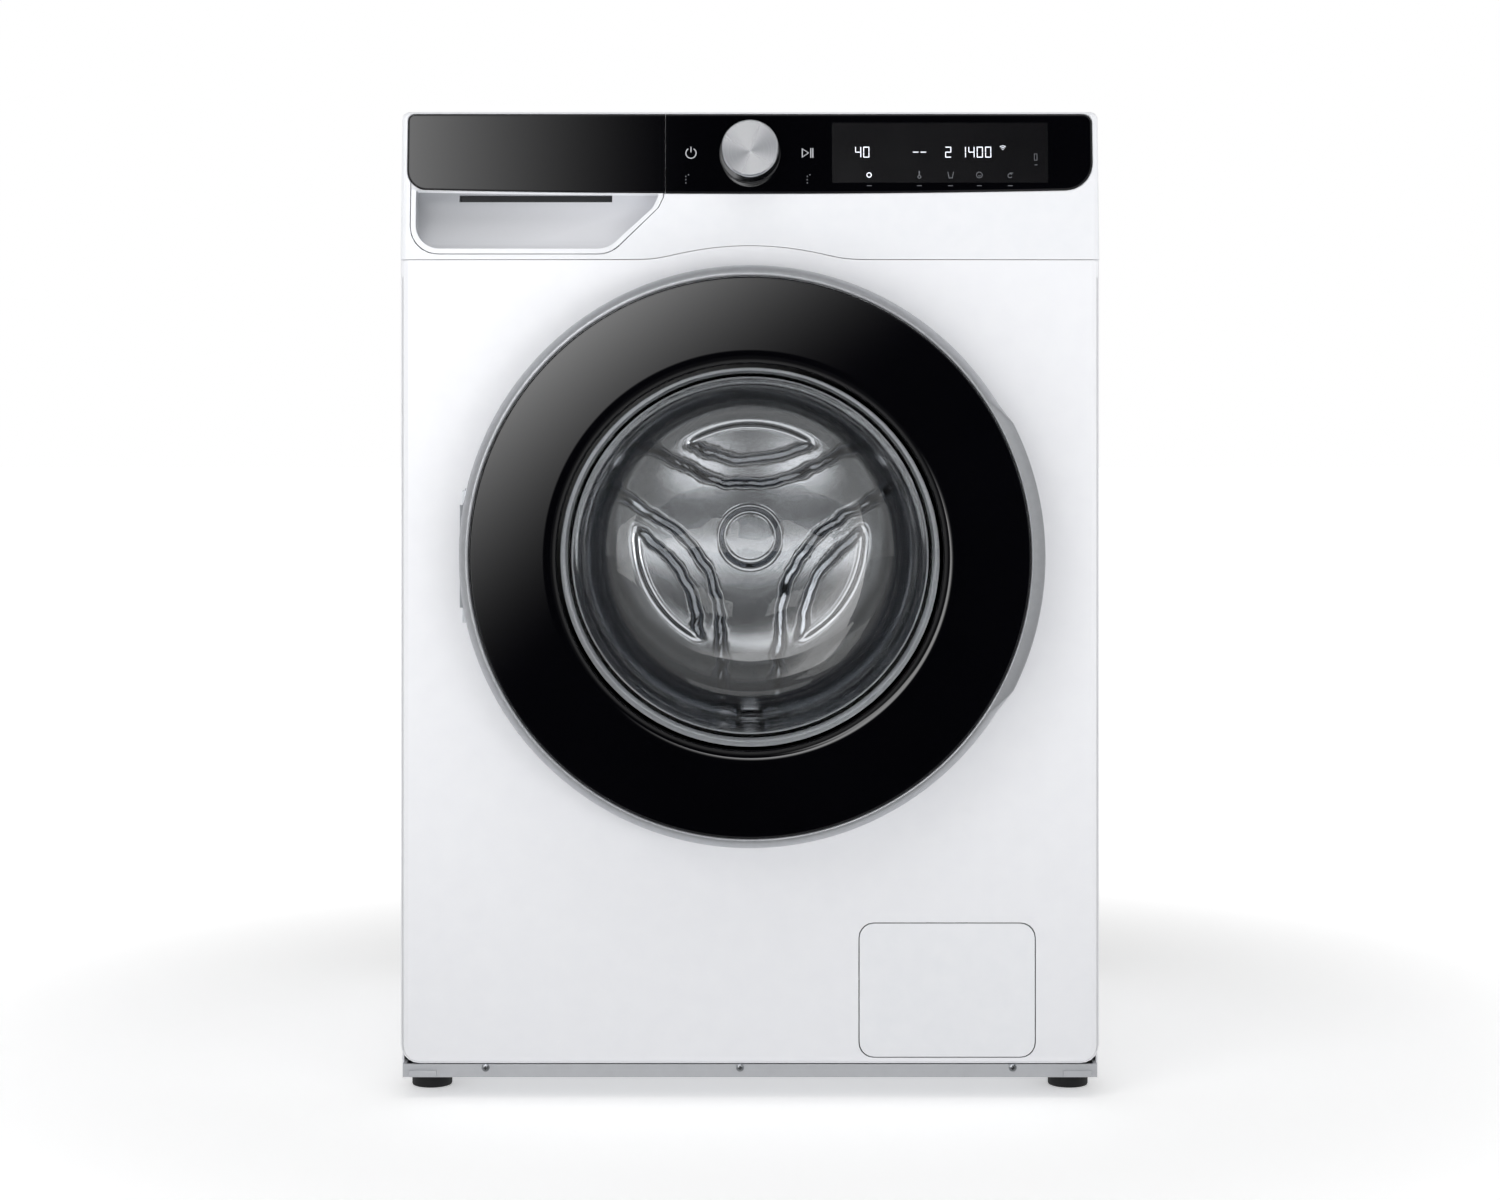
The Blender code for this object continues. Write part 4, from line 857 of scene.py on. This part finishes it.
def make_feet(steps):
    pad = [(0, 0), (0.0160, 0), (0.0170, 0.0004), (0.0175, 0.0015), (0.0175, 0.0088), (0.0171, 0.0097)]
    pad += [(0.0150, 0.0116), (0.0130, 0.0123), (0, 0.0123)]
    nut = [(0, 0.0124), (0.0092, 0.0124), (0.0098, 0.0130), (0.0098, 0.0166), (0.0092, 0.0172), (0, 0.0172)]
    stem = [(0, 0.0160)]
    threads, pitch = 16, 0.0019
    for turn in range(threads):
        stem += [(0.0050, 0.0172 + pitch * turn), (0.0044, 0.01815 + pitch * turn)]
    stem += [(0, 0.0480)]
    for end, y in zip(("front", "rear"), FOOT_Y):
        for side, x in (("left", -FOOT_X), ("right", FOOT_X)):
            body = f"foot_{end}_{side}"
            place = (x, FRONT_Y + y, 0)
            rubber = turned(pad, steps, upright=True)
            piece(f"{body}_pad", rubber, "matt_black_rubber", body, [body], place)
            screw = merged([turned(nut, 6, upright=True), turned(stem, steps, upright=True)])
            piece(f"{body}_stem", screw, "galvanised_sheet", body, (), place)


def screw_head(radius, proud, steps=20):
    """A pan-head screw that faces the front, and a thin cross on its head that stands for its crossed
    recess and is made black as painted shade.
    """
    dome = [(radius * r, -proud * y) for r, y in ((0, 1), (0.5, 0.96), (0.85, 0.7), (1, 0.2))]
    bm = turned([*dome, (radius, 0.0004), (0, 0.0004)], steps)
    cross = []
    for across, up in ((0.5, 0.12), (0.12, 0.5)):
        wide, tall = radius * across, radius * up
        cross.append(block((-wide, -proud - 0.0002, -tall), (wide, -proud * 0.9, tall)))
    return bm, merged(cross)


def add_screws(name, spots, radius, proud, facing_back=False):
    turn = Matrix.Rotation(math.pi, 3, "Z") if facing_back else None
    heads, slots = [], []
    for spot in spots:
        head, cross = screw_head(radius, proud)
        heads.append(moved(head, spot, turn))
        slots.append(moved(cross, spot, turn))
    piece(name, merged(heads), "galvanised_sheet", "cabinet")
    # The crosses are black: painted shade for the dark inside each recess.
    piece(f"{name}_recess_shade", merged(slots), "grained_black_nylon", "cabinet")


def make_fixings():
    rail = FRONT_Y + 0.0040
    add_screws("plinth_screws", [(x, rail, 0.0268) for x in (-0.227, -0.0086, 0.2255)], 0.0035, 0.0016)
    back = FRONT_Y + REAR_Y + 0.0015
    spots = [(side * 0.288, back, z) for side in (-1, 1) for z in (0.05, 0.24, 0.43, 0.62, 0.81)]
    spots += [(x, back, z) for x in (-0.14, 0.14) for z in (0.032, 0.820)]
    for step in range(6):
        angle = math.tau * (step + 0.5) / 6
        spots.append((0.1925 * math.cos(angle), back + 0.0018, AXIS_Z + 0.1925 * math.sin(angle)))
    add_screws("rear_screws", spots, 0.0042, 0.0022, facing_back=True)
    plates = []
    for side in (-1, 1):
        x = sorted((side * 0.2690, side * 0.2930))
        plate = block((x[0], 0.0022, 0.0190), (x[1], 0.0040, 0.0245))
        soften(plate, plate.edges, 0.0006, 2)
        plates.append(moved(plate, FRONT))
    piece("corner_plates", merged(plates), "satin_grey_paint", "cabinet")


def make_rear_cover(steps):
    y = REAR_Y + 0.0018
    outer = [(0, y + 0.0100), (0.0600, y + 0.0100), (0.0630, y + 0.0085), (0.0670, y + 0.0085)]
    outer += [(0.0700, y + 0.0100), (0.1150, y + 0.0100), (0.1180, y + 0.0085), (0.1220, y + 0.0085)]
    outer += [(0.1250, y + 0.0100), (0.1740, y + 0.0100), (0.1785, y + 0.0088), (0.1825, y + 0.0020)]
    outer += [(0.1850, y + 0.0015), (0.1990, y + 0.0015), (0.2000, y + 0.0010), (0.2000, y)]
    inner = [(0.1815, y), (0.1765, y + 0.0070), (0, y + 0.0070)]
    bm = turned(outer + inner, steps)
    zinc = "galvanised_sheet"
    piece("rear_service_cover", bm, zinc, "cabinet", ["rear_cover"], AXLE)


def tube(name, points, radius, sides):
    """A round tube along points, as a mesh."""
    curve = bpy.data.curves.new(name, "CURVE")
    curve.dimensions = "3D"
    curve.bevel_depth = radius
    curve.bevel_resolution = (sides - 4) // 2
    curve.use_fill_caps = True
    spline = curve.splines.new("POLY")
    spline.points.add(len(points) - 1)
    for point, co in zip(spline.points, points):
        point.co = (*co, 1)
    holder = bpy.data.objects.new(name, curve)
    bpy.context.scene.collection.objects.link(holder)
    bpy.context.view_layer.update()
    bm = bmesh.new()
    mesh = bpy.data.meshes.new_from_object(holder)
    bm.from_mesh(mesh)
    bmesh.ops.remove_doubles(bm, verts=bm.verts, dist=1e-6)
    bmesh.ops.recalc_face_normals(bm, faces=bm.faces)
    bpy.data.objects.remove(holder)
    bpy.data.meshes.remove(mesh)
    return bm


def make_flexible_parts():
    for side, name in ((-1, "left"), (1, "right")):
        x, y, low, high = side * 0.262, FRONT_Y + 0.350, 0.6025, 0.7975
        turns, per_turn = 11, 20
        steps = turns * per_turn
        route = []
        for step in range(steps + 1):
            angle = math.tau * step / per_turn
            end = min(step, steps - step) / per_turn
            radius = 0.009 * min(1.0, 0.3 + end)
            height = low + (high - low) * step / steps
            route.append((x + radius * math.cos(angle), y + radius * math.sin(angle), height))
        bm, replaced = tube("coil", route, 0.0018, 8), [f"spring_{name}"]
        coil = piece(f"coil_spring_{name}", bm, "galvanised_sheet", None, replaced)
        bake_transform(coil)
    rubber = "talced_grey_rubber"
    x, y, z = 0.169, FRONT_Y + 0.098, 0.1343
    knots = [(x, y, z), (x, y, z + 0.015), (x - 0.03, y + 0.005, z + 0.045)]
    knots += [(x - 0.059, y + 0.01, z + 0.07), (x - 0.059, y + 0.01, 0.2215)]
    bm = tube("hose", smooth_line(knots, 10), 0.013, 20)
    hose = piece("sump_bellows", bm, rubber, None, ["sump_hose"])
    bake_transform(hose)
    ring = [(0.0130, 0.7065), (0.0155, 0.7065)]
    folds, fold = 6, 0.0046
    for step in range(folds):
        low = 0.7100 + fold * step
        ring += [(0.0155, low), (0.0180, low + 0.0015), (0.0155, low + 0.0030)]
    ring += [(0.0155, 0.7382), (0.0130, 0.7382)]
    place = (-0.13, FRONT_Y + 0.275, 0)
    bm = turned(ring, 40, upright=True)
    hose = piece("drawer_bellows", bm, rubber, None, ["dispenser_hose"], place, sharp=60)
    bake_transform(hose)


# Studio


def by_depth(tree, low, high):
    """One value for light that has met up to two surfaces, another once it has met three or more."""
    depth = add_node(tree, "LightPath").outputs["Ray Depth"]
    limits = {"Value": depth, "From Min": 2.0, "From Max": 3.0, "To Min": low, "To Max": high}
    return add_node(tree, "MapRange", limits).outputs[0]


def mirrored_plane(name, low, high, shade):
    """An upright plane that only reflections and light through glass can see; shade gives its surface."""
    (left, y, bottom), (right, _, top) = low, high
    bm = bmesh.new()
    corners = [(left, y, bottom), (right, y, bottom), (right, y, top), (left, y, top)]
    bm.faces.new([bm.verts.new(c) for c in corners])
    material = bpy.data.materials.new(name)
    material.use_nodes = True
    tree = material.node_tree
    tree.nodes.clear()
    add_node(tree, "OutputMaterial", {"Surface": shade(tree)})
    obj = piece(name, bm, name, None)
    obj.visible_camera = False
    obj.visible_diffuse = False
    obj.visible_shadow = False


def gradient_box(name, low, high, along, strength, power):
    """A glowing plane whose light follows a curve of one of its directions."""
    # Seen by deeper rays: a dark middle that the drum's flat parts mirror, and a bright surround.
    middle, edge, middle_radius, edge_radius, brightest = 0.13, 1.7, 0.5, 1.0, 1.15

    def shade(tree):
        place = add_node(tree, "TexCoord").outputs["Object"]
        share = add_node(tree, "VectorMath", {0: place, 1: along[:3]}, operation="DOT_PRODUCT")
        shifted = add_node(tree, "Math", {0: share.outputs["Value"], 1: along[3]}, operation="ADD")
        held = add_node(tree, "Clamp", {"Value": shifted.outputs[0], "Min": 0.0, "Max": brightest})
        curve = add_node(tree, "Math", {0: held.outputs[0], 1: power}, operation="POWER")
        light = add_node(tree, "Math", {0: curve.outputs[0], 1: strength}, operation="MULTIPLY")
        centre = (0, low[1], AXIS_Z)
        away = add_node(tree, "VectorMath", {0: place, 1: centre}, operation="DISTANCE")
        limits = {"Value": away.outputs["Value"], "From Min": middle_radius, "From Max": edge_radius}
        limits.update({"To Min": middle, "To Max": edge})
        surround = add_node(tree, "MapRange", limits, interpolation_type="SMOOTHSTEP")
        seen = by_depth(tree, light.outputs[0], surround.outputs[0])
        return add_node(tree, "Emission", {"Strength": seen}).outputs[0]

    mirrored_plane(name, low, high, shade)


def drum_strip(name, low, high, strength):
    """A glowing strip that only light that has met three or more surfaces can see."""

    def shade(tree):
        clear = add_node(tree, "BsdfTransparent").outputs[0]
        shine = add_node(tree, "Emission", {"Strength": strength}).outputs[0]
        mixed = {0: by_depth(tree, 0.0, 1.0), 1: clear, 2: shine}
        return add_node(tree, "MixShader", mixed).outputs[0]

    mirrored_plane(name, low, high, shade)


def make_world(ambient, front, around):
    """White behind the machine, even light on it, and a room that is dark only straight in front."""
    world = bpy.data.worlds.new("studio")
    bpy.context.scene.world = world
    world.use_nodes = True
    tree = world.node_tree
    tree.nodes.clear()
    path = add_node(tree, "LightPath").outputs
    mirror = add_node(
        tree, "Math", {0: path["Is Glossy Ray"], 1: path["Is Transmission Ray"]}, operation="MAXIMUM"
    )
    way = add_node(tree, "TexCoord").outputs["Generated"]
    depth = add_node(tree, "SeparateXYZ", {"Vector": way}).outputs["Y"]
    front_in_drum = 1.5
    limits = {"Value": depth, "From Min": -0.80, "From Max": -0.45, "To Max": around}
    limits["To Min"] = by_depth(tree, front, front_in_drum)
    room = add_node(tree, "MapRange", limits, interpolation_type="SMOOTHSTEP").outputs[0]
    near = add_node(tree, "MapRange", {"Value": mirror.outputs[0], "To Min": ambient, "To Max": room})
    seen = add_node(
        tree, "MapRange", {"Value": path["Is Camera Ray"], "To Min": near.outputs[0], "To Max": 1.0}
    )
    back = add_node(tree, "Background", {"Color": (1, 1, 1, 1), "Strength": seen.outputs[0]})
    add_node(tree, "OutputWorld", {"Surface": back.outputs[0]})


def add_light(name, place, aim, size, power):
    data = bpy.data.lights.new(name, "AREA")
    data.shape = "RECTANGLE"
    data.size, data.size_y = size
    data.energy = power
    obj = bpy.data.objects.new(name, data)
    bpy.context.scene.collection.objects.link(obj)
    obj.location = place
    obj.rotation_euler = (Vector(aim) - Vector(place)).to_track_quat("-Z", "Y").to_euler()
    obj.visible_glossy = False


def make_paper(colour, glow):
    """Matt white paper that whitens away from the machine, so that it has no far edge."""
    tree, shader, place = blank("matt_white_paper")
    away = add_node(tree, "VectorMath", {0: place}, operation="LENGTH").outputs["Value"]
    for socket, near, far in (("Emission Strength", glow, 1.0), ("Specular IOR Level", 0.2, 0.0)):
        share = add_node(
            tree,
            "MapRange",
            {"Value": away, "From Min": 0.5, "From Max": 1.6, "To Min": near, "To Max": far},
            interpolation_type="SMOOTHSTEP",
        )
        tree.links.new(share.outputs[0], shader.inputs[socket])
    fill(shader, Emission_Color=(*colour, 1), Base_Color=(*colour, 1), Roughness=0.9)


def make_stage(settings):
    bm = bmesh.new()
    bmesh.ops.create_grid(bm, x_segments=2, y_segments=2, size=40)
    make_paper(settings.paper, settings.paper_glow)
    floor = piece("studio_floor", bm, "matt_white_paper", None)
    floor.visible_glossy = False
    make_world(settings.ambient, settings.dark_room, settings.bright_room)
    add_light("key", (-1.6, -2.6, 2.2), (0, 0, 0.45), (1.4, 1.4), settings.key_power)
    add_light("fill", (1.5, -2.7, 0.25), (0.2, 0, 0.15), (1.0, 0.8), settings.fill_power)
    add_light("ceiling", (0, -1.2, 3.0), (0, 0, 0.4), (2.4, 1.4), settings.ceiling_power)
    far, split = FRONT_Y - 3.2, 1.35
    # Each slope is light per metre along x, y and z, then the light where all three are 0.
    slope = (-0.77 / 0.52, 0, 0.9 / 0.52, (-0.9 * 0.335 - 0.1) / 0.52)
    gradient_box("door_softbox", (-1.3, far, -0.5), (1.3, far, split), slope, settings.door_glow, 2.5)
    slope = (-1 / 0.56, 0, 0, -0.1 / 0.56)
    gradient_box("panel_softbox", (-1.6, far, split), (1.6, far, 2.6), slope, settings.panel_glow, 2.3)
    near = far + 0.05
    for name, left, right, low, high in (
        ("left_strip", -0.20, -0.06, 0.46, 0.59),
        ("right_strip", 0.06, 0.20, 0.46, 0.59),
        ("low_strip", -0.45, 0.45, 0.26, 0.33),
    ):
        drum_strip(name, (left, near, low), (right, near, high), settings.side_glow)
    data = bpy.data.cameras.new("studio_camera")
    data.lens = settings.lens
    data.sensor_width = 36
    data.shift_y = settings.lens_shift
    camera = bpy.data.objects.new("studio_camera", data)
    camera.location = (0, FRONT_Y - settings.camera_distance, settings.camera_height)
    camera.rotation_euler = (math.pi / 2, 0, 0)
    bpy.context.scene.collection.objects.link(camera)
    bpy.context.scene.camera = camera
    bpy.context.scene.view_settings.view_transform = "Standard"


# Add-on


METRES = {"subtype": "DISTANCE", "unit": "LENGTH"}


class WasherShape(bpy.types.PropertyGroup):
    """Sizes of the visible pieces."""

    door_steps: IntProperty(name="Door smoothness", description="Faces round the door", default=240, min=48)
    drum_steps: IntProperty(name="Drum smoothness", description="Faces round the drum", default=180, min=48)
    star_rings: IntProperty(
        name="Star rings", description="Rings across the rear plate", default=90, min=20
    )
    hole_radius: FloatProperty(
        name="Hole radius", description="Radius of a drum hole", default=0.0019, **METRES
    )
    dial_steps: IntProperty(name="Dial smoothness", description="Faces round the dial", default=128, min=24)
    foot_steps: IntProperty(name="Foot smoothness", description="Faces round a foot", default=48, min=12)


class WasherLook(bpy.types.PropertyGroup):
    """Colours and light."""

    display: FloatVectorProperty(
        name="Display colour", description="Light of the digits", default=linear("eef2ff"), subtype="COLOR"
    )
    paper: FloatVectorProperty(
        name="Floor colour",
        description="Colour of the studio floor",
        default=linear("fafafa"),
        subtype="COLOR",
    )
    paper_glow: FloatProperty(
        name="Floor glow", description="How far the floor whitens itself", default=0.36
    )
    ambient: FloatProperty(name="Ambient", description="Even light from all round", default=0.40)
    dark_room: FloatProperty(
        name="Dark room", description="The reflected room straight in front", default=0.06
    )
    bright_room: FloatProperty(name="Bright room", description="The reflected room all round", default=0.55)
    key_power: FloatProperty(
        name="Key", description="Light from the upper left", default=11.5, unit="POWER"
    )
    ceiling_power: FloatProperty(name="Ceiling", description="Light from above", default=15, unit="POWER")
    fill_power: FloatProperty(
        name="Fill", description="Light from the lower right", default=8, unit="POWER"
    )
    door_glow: FloatProperty(name="Door glow", description="Reflection on the door", default=3.9)
    side_glow: FloatProperty(name="Side glow", description="The strips seen in the drum", default=2.3)
    panel_glow: FloatProperty(name="Panel glow", description="Reflection on the control panel", default=3.3)
    lens: FloatProperty(name="Lens", description="Focal length in millimetres", default=70)
    lens_shift: FloatProperty(
        name="Lens shift", description="Vertical shift of the picture", default=-0.114
    )
    camera_distance: FloatProperty(
        name="Camera distance", description="From the front panel", default=2.5, **METRES
    )
    camera_height: FloatProperty(
        name="Camera height", description="Above the floor", default=0.575, **METRES
    )


class WASHER_OT_finishes(bpy.types.Operator):
    """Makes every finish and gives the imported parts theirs"""

    bl_idname = "washer.finishes"
    bl_label = "Finishes"

    def execute(self, context):
        look = context.scene.washer_look
        make_finishes(look)
        finish_cad_nodes()
        return {"FINISHED"}


class WASHER_OT_door(bpy.types.Operator):
    """Builds the door's rim, black face and glass bowl"""

    bl_idname = "washer.door"
    bl_label = "Door"

    def execute(self, context):
        steps = context.scene.washer_shape.door_steps
        make_door_rim(steps)
        make_door_face(steps)
        make_door_bowl(steps)
        make_gasket(steps)
        return {"FINISHED"}


class WASHER_OT_drum(bpy.types.Operator):
    """Builds the drum's sheet, holes, lifters and rear plate"""

    bl_idname = "washer.drum"
    bl_label = "Drum"

    def execute(self, context):
        shape = context.scene.washer_shape
        make_drum_shell(shape.drum_steps, shape.hole_radius)
        make_drum_back(shape.drum_steps, shape.star_rings)
        make_lifters()
        return {"FINISHED"}


class WASHER_OT_controls(bpy.types.Operator):
    """Builds the black panel, its marks and the dial"""

    bl_idname = "washer.controls"
    bl_label = "Control Panel"

    def execute(self, context):
        make_glass("control_panel_glass", "control_glass", "cabinet", GLASS_SPLIT + 0.0002, -GLASS_LEFT)
        make_glass("drawer_panel_glass", "drawer_glass", "drawer", GLASS_LEFT, GLASS_SPLIT - 0.0002)
        make_marks()
        make_dial(context.scene.washer_shape.dial_steps)
        return {"FINISHED"}


class WASHER_OT_drawer(bpy.types.Operator):
    """Builds the drawer's front with its finger scoop"""

    bl_idname = "washer.drawer"
    bl_label = "Drawer"

    def execute(self, context):
        make_drawer_front()
        return {"FINISHED"}


class WASHER_OT_base(bpy.types.Operator):
    """Builds the feet, screws and rear cover"""

    bl_idname = "washer.base"
    bl_label = "Base and Back"

    def execute(self, context):
        shape = context.scene.washer_shape
        make_feet(shape.foot_steps)
        make_fixings()
        make_rear_cover(shape.drum_steps)
        return {"FINISHED"}


class WASHER_OT_inside(bpy.types.Operator):
    """Builds the springs and bellows between the cabinet and the tub"""

    bl_idname = "washer.inside"
    bl_label = "Springs and Bellows"

    def execute(self, context):
        make_flexible_parts()
        return {"FINISHED"}


class WASHER_OT_stage(bpy.types.Operator):
    """Sets up the floor, lights and camera"""

    bl_idname = "washer.stage"
    bl_label = "Studio"

    def execute(self, context):
        make_stage(context.scene.washer_look)
        return {"FINISHED"}


class WASHER_PT_panel(bpy.types.Panel):
    """The washing machine's settings and steps"""

    bl_idname = "WASHER_PT_panel"
    bl_label = "Washing Machine"
    bl_space_type = "VIEW_3D"
    bl_region_type = "UI"
    bl_category = "Washer"

    def draw(self, context):
        for group in (context.scene.washer_shape, context.scene.washer_look):
            box = self.layout.box()
            for key in group.__annotations__:
                box.prop(group, key)
        for step in STEPS:
            self.layout.operator(step.bl_idname)


GROUPS = (WasherShape, WasherLook)
STEPS = (
    WASHER_OT_finishes,
    WASHER_OT_door,
    WASHER_OT_drum,
    WASHER_OT_controls,
    WASHER_OT_drawer,
    WASHER_OT_base,
    WASHER_OT_inside,
    WASHER_OT_stage,
)


def register():
    for kind in (*GROUPS, *STEPS, WASHER_PT_panel):
        bpy.utils.register_class(kind)
    bpy.types.Scene.washer_shape = PointerProperty(type=WasherShape)
    bpy.types.Scene.washer_look = PointerProperty(type=WasherLook)


def unregister():
    del bpy.types.Scene.washer_look
    del bpy.types.Scene.washer_shape
    for kind in reversed((*GROUPS, *STEPS, WASHER_PT_panel)):
        bpy.utils.unregister_class(kind)


def main():
    register()
    for step in STEPS:
        family, name = step.bl_idname.split(".")
        result = getattr(getattr(bpy.ops, family), name)()
        if result != {"FINISHED"}:
            raise RuntimeError(f"{step.bl_idname} did not finish")


if __name__ == "__main__":
    main()
